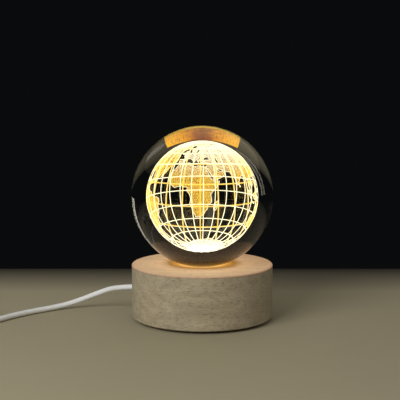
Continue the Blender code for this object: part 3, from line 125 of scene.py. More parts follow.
# Globe coastlines, drawn in degrees of longitude and latitude
LANDS = {
    "africa": (
        (-6, 35.8), (-2, 35.2), (3, 36.8), (10, 37.2), (11, 34), (15, 32.4), (20, 31), (22, 32.8),
        (29, 31), (32.3, 31.2), (32.6, 29.9), (34, 26.5), (35.6, 23.8), (37.2, 20), (39, 15.7),
        (42.8, 12), (44.5, 10.5), (51, 11.8), (49, 7), (46, 2.5), (41.5, -2), (39, -6), (40.5, -11),
        (40.6, -15), (36, -19), (35.4, -24), (32.8, -26.5), (31, -29.8), (27.5, -33.3), (22, -34.2),
        (18.4, -34.2), (18, -31.5), (15, -27), (14.3, -22), (11.8, -17), (13.5, -12), (13, -8),
        (11.8, -4.5), (8.8, -0.8), (9.5, 3.8), (6, 4.3), (1.5, 6), (-4, 5.2), (-7.6, 4.4), (-12.5, 7.5),
        (-15, 10.8), (-17.3, 14.7), (-16.2, 19), (-16.8, 22.2), (-14.5, 26.2), (-10, 29.5), (-9.5, 32),
        (-6.8, 34)),
    "eurasia": (
        (32.6, 31.2), (34.2, 31.3), (36, 34.5), (36, 36.8), (30.5, 36.4), (27.5, 37), (26.3, 39.5),
        (29, 41.1), (36, 41.6), (41.5, 41.8), (38, 44.5), (39, 47.2), (33, 45.8), (30.5, 46.3),
        (27.8, 42.8), (28, 41.3), (23.8, 40.5), (23, 36.8), (19.5, 41.6), (13.5, 45.5), (18, 40.3),
        (16, 38.2), (12, 42), (8.7, 44.4), (3.2, 43.2), (-0.2, 39), (-2, 36.8), (-6, 36.2), (-9, 37),
        (-9.3, 43), (-1.8, 43.4), (-1.5, 46), (-4.6, 48.3), (1.5, 50.1), (4.5, 52.3), (8.5, 53.8),
        (8.2, 57), (10.7, 57.6), (10.8, 54), (14.3, 53.9), (19, 54.4), (21.2, 56.8), (24, 58.8),
        (30, 59.9), (23, 60), (21.3, 61.5), (25.3, 65), (22, 65.7), (17.3, 61.5), (18.8, 59.8),
        (16.2, 56.5), (12.8, 55.6), (11, 59), (7.2, 58), (5, 61), (10, 64), (15, 68.3), (25.5, 71),
        (31, 70.3), (41, 67.5), (40, 66), (33.5, 66.8), (37, 63.9), (44, 66), (44.5, 68.3), (54, 68.5),
        (60, 69), (67, 69), (68, 72.5), (73, 71.5), (80, 72.5), (88, 75.3), (104, 77.5), (113, 74),
        (128, 72.5), (140, 72.5), (160, 69.8), (170, 69.8), (180, 68.9), (190, 66), (180, 64.8),
        (177, 62.4), (170, 60), (163.5, 59.5), (162, 56), (156.8, 51.2), (156, 57), (163.8, 61.8),
        (155, 59.3), (142.5, 59), (135.3, 54.7), (141, 52), (139.5, 47), (133, 42.8), (129.5, 41),
        (127.6, 39.5), (129.3, 35.5), (126.4, 34.5), (125.2, 38.5), (121.5, 39.2), (118, 39), (122, 37),
        (119.5, 34.8), (121.8, 31.5), (120, 26.5), (114, 22.4), (108.2, 21.3), (106, 18.8), (109.2, 13),
        (106.5, 9.5), (104.8, 9.3), (102.5, 12.1), (100, 13.4), (99.8, 9.3), (103.3, 4.5), (103.8, 1.5),
        (100.8, 4), (98.3, 8.3), (98.5, 14.5), (97, 17), (94.3, 16), (92, 21.5), (87, 21.4), (82, 16.6),
        (80.1, 13), (79.8, 10.3), (77.5, 8.2), (74.7, 13), (72.9, 19), (72.7, 21.5), (69, 22.3),
        (67, 24.8), (61.5, 25.1), (57, 26.9), (51, 28.5), (48, 30), (51.5, 25.7), (54, 24.2), (56.2, 26),
        (59.7, 22.5), (57.5, 19), (52, 15.7), (45, 12.8), (43.2, 13), (42.5, 16.5), (39.2, 21.3),
        (35, 28), (34.2, 29.5)),
    "north_america": (
        (-168, 65.6), (-166, 68.3), (-156.5, 71.3), (-141, 69.7), (-128, 70), (-115, 68), (-108, 68),
        (-95, 68.5), (-94, 72), (-85, 69.8), (-81.5, 69), (-87, 64), (-94, 61), (-94.5, 58.5),
        (-88, 56.5), (-82.3, 55), (-80, 51.3), (-79, 54.5), (-77, 57.5), (-78, 62.4), (-70, 61),
        (-67, 58.5), (-64.5, 60.2), (-61, 56), (-56, 52.3), (-60, 50.2), (-66.5, 50.2), (-70, 47),
        (-64.8, 49), (-61, 45.8), (-66, 43.7), (-70.3, 43.5), (-70, 41.7), (-74, 40.5), (-76, 36.9),
        (-75.6, 35.2), (-81.2, 31), (-80.1, 26), (-81.2, 25.3), (-82.8, 28), (-84.2, 30), (-89.5, 29.5),
        (-94.5, 29.4), (-97.5, 27.5), (-97.8, 22.3), (-95.7, 18.7), (-91.5, 18.6), (-90.3, 21.2),
        (-87, 21.4), (-88.5, 16), (-83.2, 15), (-83.7, 11), (-81, 8.9), (-79.5, 9.5), (-77.4, 8.6),
        (-77.8, 7.2), (-80.4, 7.4), (-85.7, 10), (-87.6, 13), (-94.5, 16.2), (-101.8, 17.8),
        (-105.6, 20.4), (-105.8, 22.8), (-112.5, 29.8), (-114.7, 31.6), (-109.5, 23), (-115, 28.5),
        (-117.3, 33), (-120.6, 34.5), (-124.3, 40.4), (-124.2, 47), (-122.8, 49), (-130.5, 54.5),
        (-139.5, 59.6), (-148, 60.2), (-153.5, 58.8), (-164.5, 54.7), (-157.5, 58.7), (-165.2, 61.5),
        (-161, 64.4)),
    "south_america": (
        (-77.4, 8.6), (-75.5, 10.8), (-71.5, 12.3), (-68, 11.2), (-62, 10.7), (-57, 6), (-51.5, 4.2),
        (-50, 0.5), (-44.3, -2.5), (-38.5, -3.8), (-35, -6), (-35, -9), (-39, -13.5), (-39.3, -18),
        (-41.2, -22.2), (-46.5, -24), (-48.7, -27), (-52.3, -32.8), (-55, -34.8), (-58, -34),
        (-57, -36.5), (-62.2, -39), (-65, -41), (-65.5, -45), (-69, -50.5), (-68.5, -52.5),
        (-65.3, -54.8), (-71, -54.5), (-75, -50), (-75.2, -46), (-73.6, -41), (-73.5, -37), (-71.5, -32),
        (-70.3, -23), (-70.4, -18.3), (-76.2, -14), (-81.2, -6), (-80.3, -2.7), (-80, 0.8), (-77.5, 4),
        (-77.8, 7.2)),
    "greenland": (
        (-46, 60), (-41, 63), (-37, 65.8), (-24, 69), (-20, 74), (-18, 80), (-32, 83.5), (-58, 82),
        (-72, 78.3), (-58, 75.5), (-54, 71), (-53.5, 67), (-50, 61.8)),
    "australia": (
        (114, -22), (113.7, -26), (115.8, -32), (118, -35), (124, -33.5), (131, -31.5), (135.5, -34.8),
        (138, -33), (140, -38), (145, -38.5), (147, -38.8), (150, -37.3), (153, -31), (153.2, -26),
        (149.5, -21.5), (146, -18.8), (145.3, -15), (142.6, -10.9), (141, -16), (139.5, -17.5),
        (135.8, -15), (136.8, -12.2), (131, -12.1), (129, -15), (126, -14), (122.2, -18), (117, -20.8)),
    "madagascar": ((49.3, -12), (50.3, -15.8), (47.2, -25), (44, -25), (43.7, -21.5), (44.4, -16.5)),
    "britain": (
        (-5.5, 50.2), (1.3, 51.2), (1.6, 52.8), (-1.7, 55.5), (-2, 57.6), (-5, 58.5), (-5.8, 56.2),
        (-3.2, 54.6), (-4.8, 52.5)),
    "ireland": ((-6.4, 52.2), (-10, 51.7), (-9.7, 54.2), (-7, 55.2), (-5.7, 54.4)),
    "iceland": ((-22.5, 64), (-18.5, 63.5), (-14, 64.7), (-15.5, 66.3), (-22, 66.3), (-24, 65.3)),
    "ceylon": ((80, 9.6), (81.8, 7.3), (80.5, 6), (79.8, 7.5)),
    "sumatra": ((95.4, 5.6), (98.3, 4), (103.8, -1), (106, -3.3), (105.8, -5.8), (101.5, -3)),
    "java": ((105.3, -6.6), (108.5, -6.7), (114.4, -7.8), (114.2, -8.6), (108, -7.8)),
    "borneo": (
        (109.2, 1.8), (113, 3.3), (117, 7), (119, 5), (117.7, 1), (116, -4), (111.7, -3.4), (109.5, -0.8)),
    "celebes": ((119.6, -5.5), (119, -3), (120.5, 1), (125, 1.5), (121, -0.9), (123, -4.7), (121, -3.5)),
    "new_guinea": (
        (131, -0.8), (135, -3.3), (141, -2.7), (147.5, -6), (150.7, -10.5), (146, -8.6), (143, -9.2),
        (138.5, -8.3), (137.8, -5.3), (133, -4)),
    "luzon": ((120.6, 18.5), (122.2, 18.4), (121.6, 15), (124, 12.7), (120.7, 13.8), (120, 16)),
    "mindanao": ((122, 7), (125.5, 9.8), (126.4, 7.5), (125.5, 5.7)),
    "formosa": ((121.5, 25.2), (120.2, 23), (120.8, 22)),
    "honshu": (
        (131, 34.2), (133, 35.5), (137, 37.3), (140, 40), (141.3, 41.4), (141.9, 39.5), (140.8, 36),
        (138.5, 34.8), (135.7, 33.5)),
    "kyushu": ((130, 33.5), (131.8, 33.5), (130.8, 31.2)),
    "hokkaido": ((140.2, 41.6), (141.6, 45.3), (145.3, 43.4), (143.2, 42)),
    "sakhalin": ((142, 46.5), (142, 53), (143, 54), (143.5, 49)),
    "new_zealand_north": ((173, -34.6), (175.5, -36.6), (178.3, -37.8), (175.5, -41.4), (174, -39.3)),
    "new_zealand_south": (
        (172.8, -40.7), (174, -41.8), (170.8, -45.6), (168.5, -46.6), (166.7, -45.7), (170.5, -43)),
    "tasmania": ((144.8, -40.9), (148.2, -41), (147, -43.5), (145.6, -42.8)),
    "cuba": ((-84.8, 22), (-82, 23), (-77.5, 21.8), (-74.3, 20.2), (-77.6, 20), (-80.5, 22)),
    "hispaniola": ((-74.3, 18.5), (-73, 19.8), (-68.5, 18.6), (-71.5, 17.8)),
    "baffin": (
        (-64, 62), (-65, 65.5), (-62, 67), (-70, 71), (-80, 73.7), (-88, 73), (-84, 70), (-74, 68),
        (-73, 64.5)),
    "ellesmere": ((-62, 82.4), (-75, 78.5), (-82, 76.5), (-90, 77), (-93, 81), (-80, 83)),
    "victoria_island": ((-105, 69), (-117, 70), (-117, 73), (-106, 73)),
    "banks_island": ((-125, 72), (-121, 71.3), (-117, 74), (-123, 74.3)),
    "newfoundland": ((-59, 47.7), (-55.5, 51.5), (-53, 47)),
    "svalbard": ((11, 79.5), (16, 76.8), (21, 78.5), (26, 80)),
    "novaya_zemlya": ((52, 71), (57, 70.7), (60, 73.5), (68, 76.8), (60, 76.2), (54.5, 73.5)),
    "severnaya_zemlya": ((96, 79.5), (103, 78), (104, 80), (95, 81)),
    "new_siberian_islands": ((138, 74), (150, 74.8), (148, 76), (138, 75.8)),
}
ICE_CAP = (
    (-180, -78), (-160, -78.5), (-148, -76.5), (-125, -73.8), (-102, -74.5), (-85, -73.2), (-68, -71.5),
    (-66, -66), (-58, -63.5), (-61, -67.5), (-62, -74), (-78, -79), (-60, -82), (-38, -78), (-20, -74),
    (-8, -71), (10, -70), (35, -69), (50, -66.5), (70, -68.5), (85, -66.8), (110, -66.3), (135, -66),
    (150, -68.5), (168, -71.5), (164, -77.5))
INLAND_SEAS = {
    "caspian": (
        (47, 45), (51, 46.8), (53, 45), (50.8, 44.3), (53.5, 40.5), (53.8, 37), (50, 37.5), (49.2, 40.5),
        (47.6, 43)),
}


# Settings a user would change

def colour_setting(name, description, default):
    """A colour that a user can change."""
    return FloatVectorProperty(name=name, description=description, subtype="COLOR", size=3,
                               default=default, min=0, max=1)


def length_setting(name, description, default, least):
    """A length that a user can change, in metres."""
    return FloatProperty(name=name, description=description, default=default, min=least, unit="LENGTH")


class StageSettings(bpy.types.PropertyGroup):
    """The floor, the lights and the camera."""

    floor_colour: colour_setting("Floor", "Colour of the plain floor", (0.370, 0.325, 0.212))
    dark_colour: colour_setting("Backdrop", "Colour seen beyond the floor", (0.0032, 0.0034, 0.0037))
    daylight: FloatProperty(
        name="Soft light", description="Brightness of the even light from all round", default=0.19, min=0)
    key_power: FloatProperty(
        name="Key light", description="Power of the large soft light on the left", default=4.8, min=0,
        unit="POWER")
    rim_power: FloatProperty(
        name="Rim lights", description="Power of each thin light behind", default=0.32, min=0, unit="POWER")
    glow: FloatProperty(
        name="Warm card", description="Brightness of the warm card that shines through the ball's top",
        default=1.35, min=0)
    floor_back: length_setting(
        "Floor behind", "How far the floor runs behind the lamp's centre", 0.150, 0.05)
    camera_lens: FloatProperty(
        name="Lens", description="Focal length in millimetres", default=85, min=10)
    camera_pitch: FloatProperty(
        name="Camera pitch", description="How far the camera looks down", default=math.radians(6.6),
        subtype="ANGLE")
    camera_place: FloatVectorProperty(
        name="Camera place", description="Where the camera stands", subtype="TRANSLATION", size=3,
        unit="LENGTH", default=(-0.00124, -0.52970, 0.12880))


class GlobeSettings(bpy.types.PropertyGroup):
    """The globe engraved inside the glass ball."""

    radius: length_setting("Globe radius", "Radius of the engraved globe", 0.0207, 0.005)
    lean: FloatProperty(
        name="Lean", description="How far the globe's axis leans back from upright",
        default=math.radians(14.6), subtype="ANGLE")
    front: FloatProperty(
        name="Front longitude", description="Longitude that faces the front", default=math.radians(28.5),
        subtype="ANGLE")
    line_width: length_setting("Line width", "Width of the engraved grid lines", 0.00035, 0.0001)
    line_depth: length_setting("Line depth", "Thickness of the engraved grid lines", 0.00016, 0.00005)
    coast_width: length_setting("Coast width", "Width of the engraved coastlines", 0.00022, 0.0001)
    dot_spacing: length_setting(
        "Dot spacing", "Distance between the engraved dots of the land", 0.00030, 0.0002)
    dot_size: length_setting("Dot size", "Width of one engraved dot", 0.00028, 0.0001)
    parallels: IntProperty(
        name="Parallels", description="Circles of latitude, pole to pole", default=9, min=1, max=35)
    meridians: IntProperty(
        name="Meridians", description="Full circles through the poles", default=12, min=1, max=36)
    # Painted glow of the engraving: cream on faces that look out, gold on faces that look into the globe.
    outer_colour: colour_setting(
        "Lines outside", "Glow of the lines seen from outside", (1.0, 0.93, 0.60))
    inner_colour: colour_setting(
        "Lines inside", "Glow of the lines seen through the globe", (1.0, 0.62, 0.045))
    land_colour: colour_setting("Land", "Glow of the engraved land", (1.0, 0.60, 0.075))
    glow: FloatProperty(
        name="Glow", description="Brightness of the engraving", default=1.5, min=0)


class LampSettings(bpy.types.PropertyGroup):
    """The light chips under the ball and their frosted cap."""

    light_colour: colour_setting("Light", "Colour of the light from the base", (1.0, 0.60, 0.20))
    cap_glow: FloatProperty(
        name="Cap glow", description="Brightness of the frosted cap", default=2.5, min=0)
    chip_glow: FloatProperty(
        name="Chip glow", description="Brightness of the light chips", default=6.0, min=0)


class WoodSettings(bpy.types.PropertyGroup):
    """The turned beech base."""

    pale_colour: colour_setting(
        "Pale grain", "Colour of the beech between its flecks", (0.395, 0.340, 0.228))
    dark_colour: colour_setting("Dark grain", "Colour of the beech's flecks", (0.170, 0.125, 0.072))
    fleck_length: length_setting("Fleck length", "Length of a fleck along the grain", 0.0034, 0.0005)
    fleck_height: length_setting("Fleck height", "Height of a fleck", 0.00036, 0.0001)
    # Painted lamplight: the colour of the glow painted on the base's top as emission.
    painted_spill_colour: colour_setting(
        "Lamplight on top", "Warm light that the ball spills on the base's top", (0.44, 0.25, 0.130))


class CordSettings(bpy.types.PropertyGroup):
    """The cord, its switch and its plug."""

    sheath_colour: colour_setting("Sheath", "Colour of the cord's soft sheath", (0.78, 0.79, 0.78))
    shell_colour: colour_setting(
        "Switch and plug", "Colour of the moulded switch and plug", (0.80, 0.80, 0.78))


# Finishes

class Value:
    """A socket of a finish, whose arithmetic adds Math nodes."""

    def __init__(self, finish, socket):
        self.finish = finish
        self.socket = socket

    def _math(self, operation, first, second=0.0):
        return self.finish.node("ShaderNodeMath", {"operation": operation}, {0: first, 1: second})

    def __add__(self, other):
        return self._math("ADD", self, other)

    def __radd__(self, other):
        return self._math("ADD", other, self)

    def __sub__(self, other):
        return self._math("SUBTRACT", self, other)

    def __rsub__(self, other):
        return self._math("SUBTRACT", other, self)

    def __mul__(self, other):
        return self._math("MULTIPLY", self, other)

    def __rmul__(self, other):
        return self._math("MULTIPLY", other, self)

    def __truediv__(self, other):
        return self._math("DIVIDE", self, other)

    def __rtruediv__(self, other):
        return self._math("DIVIDE", other, self)


class Finish:
    """A named finish with one Principled shader, built node by node."""

    def __init__(self, name):
        self.material = bpy.data.materials.new(name)
        self.material.use_nodes = True
        self.tree = self.material.node_tree
        self.shader = next(n for n in self.tree.nodes if n.type == "BSDF_PRINCIPLED")

    def fill(self, socket, value):
        """Links a socket to a value, or sets it to a number, vector or colour."""
        if isinstance(value, Value):
            self.tree.links.new(value.socket, socket)
        elif socket.type == "RGBA":
            socket.default_value = (*value, 1)
        else:
            socket.default_value = value

    def node(self, kind, settings=None, inputs=None, output=0):
        """Adds a node: its settings first, then the values and links of its sockets."""
        node = self.tree.nodes.new(kind)
        for name, value in (settings or {}).items():
            if name == "stops":
                elements = node.color_ramp.elements
                for k, (position, colour) in enumerate(value):
                    element = elements[k] if k < 2 else elements.new(position)
                    element.position = position
                    element.color = (*colour, 1)
            else:
                setattr(node, name, value)
        for name, value in (inputs or {}).items():
            self.fill(node.inputs[name], value)
        return Value(self, node.outputs[output])

    def place(self, scale=(1, 1, 1), shift=(0, 0, 0)):
        """Object coordinates, scaled and then shifted."""
        coordinates = self.node("ShaderNodeTexCoord", output="Object")
        return self.node("ShaderNodeMapping", {}, {"Vector": coordinates, "Location": shift, "Scale": scale})

    def along(self, axis, vector=None):
        """How far along an axis a place lies."""
        return self.node("ShaderNodeSeparateXYZ", {}, {"Vector": vector or self.place()}, axis)

    def noise(self, scale, detail=2.0, roughness=0.5, vector=None):
        """A noise over a vector, or else over plain object coordinates."""
        return self.node("ShaderNodeTexNoise", {}, {
            "Vector": vector or self.place(), "Scale": scale, "Detail": detail, "Roughness": roughness})

    def spread(self, value, low, high, to_low=0.0, to_high=1.0):
        """Stretches a range of values to another, clamped at its ends."""
        return self.node("ShaderNodeMapRange", {"clamp": True},
                         {"Value": value, "From Min": low, "From Max": high, "To Min": to_low,
                          "To Max": to_high})

    def vary(self, noise, low=0.0, high=1.0):
        """A value that a noise moves between two others, and holds at them for its extremes."""
        return self.spread(noise, 0.3, 0.7, low, high)

    def mix(self, share, first, second):
        """A blend of two colours."""
        return self.node("ShaderNodeMix", {"data_type": "RGBA"}, {0: share, 6: first, 7: second}, 2)

    def bump(self, height, distance, strength):
        """A raised grain of the surface, its height in metres."""
        return self.node("ShaderNodeBump", {},
                         {"Height": height, "Distance": distance, "Strength": strength})

    def set(self, values):
        """Sets or links the shader's own sockets, and gives the material."""
        for name, value in values.items():
            self.fill(self.shader.inputs[name], value)
        return self.material


class Glow(Finish):
    """What a light or the world gives off, built node by node as a finish is."""

    def __init__(self, source, kind):
        source.use_nodes = True
        self.material = source
        self.tree = source.node_tree
        self.shader = next(n for n in self.tree.nodes if n.type == kind)


def shade(colour, *shares):
    """A colour made lighter or darker, by one factor or by one for each channel."""
    return tuple(min(1.0, channel * share) for channel, share in zip(colour, shares * (3 // len(shares))))


def moulded_plastic(name, colour, gloss=0.42, grain=0.000012):
    """Moulded plastic with a fine spark-eroded grain and faint flow marks."""
    finish = Finish(name)
    fine = finish.noise(5200, 3, 0.6)
    broad = finish.noise(140, 2)
    tone = finish.mix(finish.spread(broad, 0.35, 0.65), shade(colour, 0.95), shade(colour, 1.03))
    return finish.set({
        "Base Color": tone,
        "Roughness": finish.vary(fine, gloss - 0.05, gloss + 0.08),
        "Normal": finish.bump(fine, grain, 0.5),
        "IOR": 1.49,
    })


def turned_beech(settings):
    """Beech with its grain lying level and flecked with short rays; its top carries a painted glow of
    lamplight, amber by the seat, and painted shade round the seat.
    """
    finish = Finish("turned_beech")
    along = 1 / settings.fleck_length
    up = 1 / settings.fleck_height
    deep = 1 / (settings.fleck_height * 2.4)
    flecks = finish.noise(1.0, 2, 0.55, finish.place((along, deep, up)))
    fine = finish.noise(1.0, 2, 0.6, finish.place((along * 2.3, deep * 2.1, up * 2.1), (3.1, 1.7, 5.2)))
    streaks = finish.noise(1.0, 3, 0.6, finish.place((9, 190, 260), (1.3, 2.2, 0.4)))
    cloud = finish.noise(1.0, 2, vector=finish.place((22, 30, 36)))
    mask = finish.spread(flecks, 0.56, 0.64)
    thin = finish.spread(fine, 0.58, 0.68)
    pale = finish.mix(finish.vary(streaks), shade(settings.pale_colour, 0.74),
                      shade(settings.pale_colour, 1.16))
    pale = finish.mix(finish.vary(cloud, 0.0, 0.45), pale, shade(settings.pale_colour, 1.04, 0.93, 0.86))
    wood = finish.mix(mask * 0.70 + thin * 0.45, pale, settings.dark_colour)
    height = finish.along("Z")
    flat = finish.node("ShaderNodeVectorMath", {"operation": "MULTIPLY"},
                       {0: finish.place(), 1: (1.0, 1.0, 0.0)})
    share = finish.node("ShaderNodeVectorMath", {"operation": "LENGTH"}, {0: flat}, "Value") / BASE_RADIUS
    # Painted light: the top's emission is a painted glow of the lamp's light, hot amber by the seat and a
    # softer warm tone further out.
    painted_seat_glow = (0.55, 0.21, 0.018)
    painted_lamplight = finish.node("ShaderNodeValToRGB", {"stops": (
        (0.31, (1.0, 0.56, 0.12)), (0.36, painted_seat_glow), (0.46, shade(painted_seat_glow, 0.45)),
        (0.60, settings.painted_spill_colour), (0.88, shade(settings.painted_spill_colour, 0.72)))}, {"Fac": share})
    face = BASE_HIGH.z
    top = finish.spread(height, face - 0.0012, face - 0.0002) + finish.spread(share, 0.48, 0.50, 1.0, 0.0)
    edge = finish.spread(height, face - 0.0018, face - 0.0010) * finish.spread(share, 0.955, 0.975)
    wood = finish.mix(edge * 0.40, wood, (0.30, 0.15, 0.10))
    # Painted shade: the top darkens towards the seat, where the ball shades the wood.
    wood = finish.mix(top * finish.spread(share, 0.45, 0.65, 0.25, 0.0), wood,
                      shade(settings.dark_colour, 0.4))
    rings = finish.node("ShaderNodeTexWave", {"wave_type": "RINGS", "rings_direction": "Z"},
                        {"Vector": finish.place(), "Scale": 480, "Distortion": 0.4})
    return finish.set({
        "Base Color": wood,
        "Roughness": finish.spread(flecks, 0.35, 0.70, 0.50, 0.66),
        "Emission Color": finish.mix(top, (0.0, 0.0, 0.0), painted_lamplight),
        "Emission Strength": 1.0,
        "Normal": finish.bump(rings * 0.15 - (mask + thin * 0.5), 0.00006, 0.55),
        "IOR": 1.45,
    })


def clear_glass():
    """Optical glass with a few faint smears on its polish."""
    finish = Finish("clear_glass")
    smears = finish.noise(1.0, 3, 0.65, finish.place((60, 60, 95)))
    return finish.set({
        "Base Color": (0.88, 0.88, 0.87),
        "Roughness": finish.spread(smears, 0.70, 0.85, 0.0, 0.012),
        "IOR": 1.517,
        "Transmission Weight": 1.0,
    })


def engraving(name, colour, glow, lift=0.0):
    """Laser marks in the glass with a painted glow for the base's light scattered in them, palest at the foot
    of the globe, nearest that light, and at its top too if lifted.
    """
    finish = Finish(name)
    height = finish.along("Z", finish.place((1, 1, 1), (0, 0, -BALL_CENTRE.z)))
    low = finish.spread(height, -0.0215, -0.0120, 1.0, 0.0)
    high = finish.spread(height, 0.0100, 0.0200, 0.0, lift)
    speck = finish.noise(2600, 2)
    shaded = finish.mix(finish.spread(speck, 0.35, 0.65), shade(colour, 0.72), colour)
    # Painted light: the marks give off light though they are no lamp, paler towards the foot and, with a
    # lift, at the top.
    material = finish.set({
        "Base Color": (0.55, 0.46, 0.28),
        "Roughness": 0.6,
        "Emission Color": finish.mix(low + high, shaded, (1.0, 0.94, 0.72)),
        "Emission Strength": glow,
    })
    material.cycles.emission_sampling = "NONE"
    return material


def frosted_cap(settings):
    """Milky plastic that glows evenly, as the chips below light it."""
    finish = Finish("frosted_cap")
    speck = finish.noise(900, 2)
    glow = finish.mix(finish.vary(speck), shade(settings.light_colour, 0.8), settings.light_colour)
    return finish.set({
        "Base Color": (0.86, 0.84, 0.78),
        "Roughness": finish.vary(speck, 0.5, 0.62),
        "Emission Color": glow,
        "Emission Strength": settings.cap_glow,
    })


def light_chip(settings):
    """Yellow phosphor of a warm white chip, lit."""
    finish = Finish("light_chip")
    speck = finish.noise(3000, 2)
    return finish.set({
        "Base Color": finish.mix(speck, (0.80, 0.52, 0.06), (0.90, 0.66, 0.14)),
        "Roughness": finish.vary(speck, 0.35, 0.5),
        "Emission Color": finish.mix(speck, shade(settings.light_colour, 0.9), (1.0, 0.82, 0.46)),
        "Emission Strength": settings.chip_glow,
    })


def metal(name, colour, roughness, scratch=0.000004):
    """Plated or stamped metal with fine scratches."""
    finish = Finish(name)
    lines = finish.noise(1.0, 2, 0.6, finish.place((400, 5200, 900)))
    tarnish = finish.noise(320, 3)
    return finish.set({
        "Base Color": finish.mix(finish.spread(tarnish, 0.35, 0.7), colour, shade(colour, 0.86)),
        "Metallic": 1.0,
        "Roughness": finish.vary(lines, roughness - 0.05, roughness + 0.10),
        "Normal": finish.bump(lines, scratch, 0.5),
    })


def rubber(name, colour):
    """Soft rubber, dull and finely pitted."""
    finish = Finish(name)
    pits = finish.noise(3800, 3, 0.6)
    return finish.set({
        "Base Color": finish.mix(finish.spread(pits, 0.35, 0.7), shade(colour, 0.8), colour),
        "Roughness": finish.vary(pits, 0.72, 0.88),
        "Normal": finish.bump(pits, 0.00003, 0.6),
    })


def cord_sheath(settings):
    """Soft white sheath: satin, with faint drawing marks and dust."""
    finish = Finish("cord_sheath")
    fine = finish.noise(2400, 3, 0.6)
    dust = finish.noise(95, 3, 0.6)
    tone = finish.mix(finish.spread(dust, 0.38, 0.72), settings.sheath_colour,
                      shade(settings.sheath_colour, 0.90, 0.89, 0.85))
    return finish.set({
        "Base Color": tone,
        "Roughness": finish.vary(fine, 0.34, 0.48),
        "Normal": finish.bump(fine, 0.00001, 0.4),
        "IOR": 1.48,
    })


def board_mask():
    """White solder mask over fibreglass, with the weave showing through a little."""
    finish = Finish("board_mask")
    weave, cross = (finish.node("ShaderNodeTexWave", {"wave_type": "BANDS", "bands_direction": axis},
                                {"Vector": finish.place(), "Scale": 620, "Distortion": 0.6})
                    for axis in "XY")
    cloth = weave * 0.5 + cross * 0.5
    return finish.set({
        "Base Color": finish.mix(cloth, (0.72, 0.72, 0.69), (0.80, 0.80, 0.78)),
        "Roughness": finish.spread(cloth, 0.0, 1.0, 0.32, 0.42),
        "Normal": finish.bump(cloth, 0.00001, 0.3),
    })


def floor_paint(settings):
    """The plain matt floor, with painted shade that darkens it over the last stretch before its far edge,
    where the light falls off.
    """
    finish = Finish("plain_floor")
    speck = finish.noise(60, 3)
    stretch = 0.08
    darkest = 0.92
    end = settings.floor_back
    # Painted shade: light falling off towards the back is painted into the floor's colour.
    far = finish.spread(finish.along("Y"), end - stretch, end, 0.0, darkest)
    plain = finish.mix(speck, shade(settings.floor_colour, 0.985), shade(settings.floor_colour, 1.015))
    return finish.set({
        "Base Color": finish.mix(far, plain, settings.dark_colour),
        "Roughness": 0.85,
        "Specular IOR Level": 0.2,
    })


# Shapes

def finished_piece(name, shape, finishes, body, sharp=math.radians(35)):
    """Turns a bmesh into a smooth-shaded piece with its finishes, riding a body."""
    mesh = bpy.data.meshes.new(name)
    shape.to_mesh(mesh)
    shape.free()
    mesh.shade_smooth()
    mesh.set_sharp_from_angle(angle=sharp)
    for finish in finishes:
        mesh.materials.append(finish)
    piece = bpy.data.objects.new(name, mesh)
    bpy.context.scene.collection.objects.link(piece)
    if body:
        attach(piece, body)
    return piece


def dressed_copy(node, name, finish, body="lamp", sharp=math.radians(32)):
    """A merged, smooth-shaded copy of a CAD node that stands for it, in a slot and riding a body."""
    shape = bmesh.new()
    shape.from_mesh(NODES[node].data)
    bmesh.ops.remove_doubles(shape, verts=shape.verts, dist=MERGE)
    bmesh.ops.dissolve_limit(shape, angle_limit=math.radians(0.4), verts=shape.verts, edges=shape.edges)
    piece = finished_piece(name, shape, [finish], body, sharp)
    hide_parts(node)


def dress_node(node, finish):
    """Gives a CAD node that stays its finish."""
    slots = NODES[node].material_slots
    for slot in slots:
        slot.material = finish
    if not slots:
        raise RuntimeError(f"{node} has no material slot")


def smooth_route(points, step):
    """Evenly spaced points on a smooth curve through the given ones."""
    fine = 20
    knots = [Vector(p) for p in points]
    knots = [2 * knots[0] - knots[1]] + knots + [2 * knots[-1] - knots[-2]]
    dense = []
    for a, b, c, d in zip(knots, knots[1:], knots[2:], knots[3:]):
        for k in range(fine):
            t = k / fine
            dense.append(b + (c - a) * (t / 2) + (a - 2.5 * b + 2 * c - d / 2) * t**2
                         + (3 * (b - c) + d - a) * (t**3 / 2))
    dense.append(knots[-2])
    lengths = np.cumsum([0] + [(q - p).length for p, q in zip(dense, dense[1:])])
    count = max(2, round(lengths[-1] / step))
    wanted = np.linspace(0, lengths[-1], count + 1)
    places = np.array([tuple(p) for p in dense])
    return np.stack([np.interp(wanted, lengths, places[:, axis]) for axis in range(3)], axis=1)


def from_polar(radius, angle, z):
    """A place from its distance and direction from the upright axis, and its height."""
    return Vector((radius * math.cos(angle), radius * math.sin(angle), z))


def coil_points():
    """The coil's loops, which spiral in and out and climb a layer at each reversal."""
    turns = COIL_TURNS + (COIL_START - COIL_END) / math.tau
    layer_turns = turns / COIL_LAYERS
    climb_turns = 0.5
    count = round(turns * COIL_POINTS)
    points = []
    for k in range(count + 1):
        wound = turns * k / count
        layer = min(int(wound / layer_turns), COIL_LAYERS - 1)
        along = wound - layer * layer_turns
        inward = along if layer % 2 == 0 else layer_turns - along
        radius = COIL_RADIUS - COIL_PITCH * inward
        z = CORD_LIE
        for reversal in range(1, COIL_LAYERS):
            share = (wound - reversal * layer_turns) / climb_turns + 0.5
            share = min(max(share, 0), 1)
            z += COIL_RISE * (1 - math.cos(math.pi * share)) / 2
        points.append(from_polar(radius, COIL_START - math.tau * wound, z) + COIL_CENTRE)
    return points


def coil_heading(angle):
    """Which way the cord runs where the coil passes an angle."""
    return Vector((math.sin(angle), -math.cos(angle), 0))


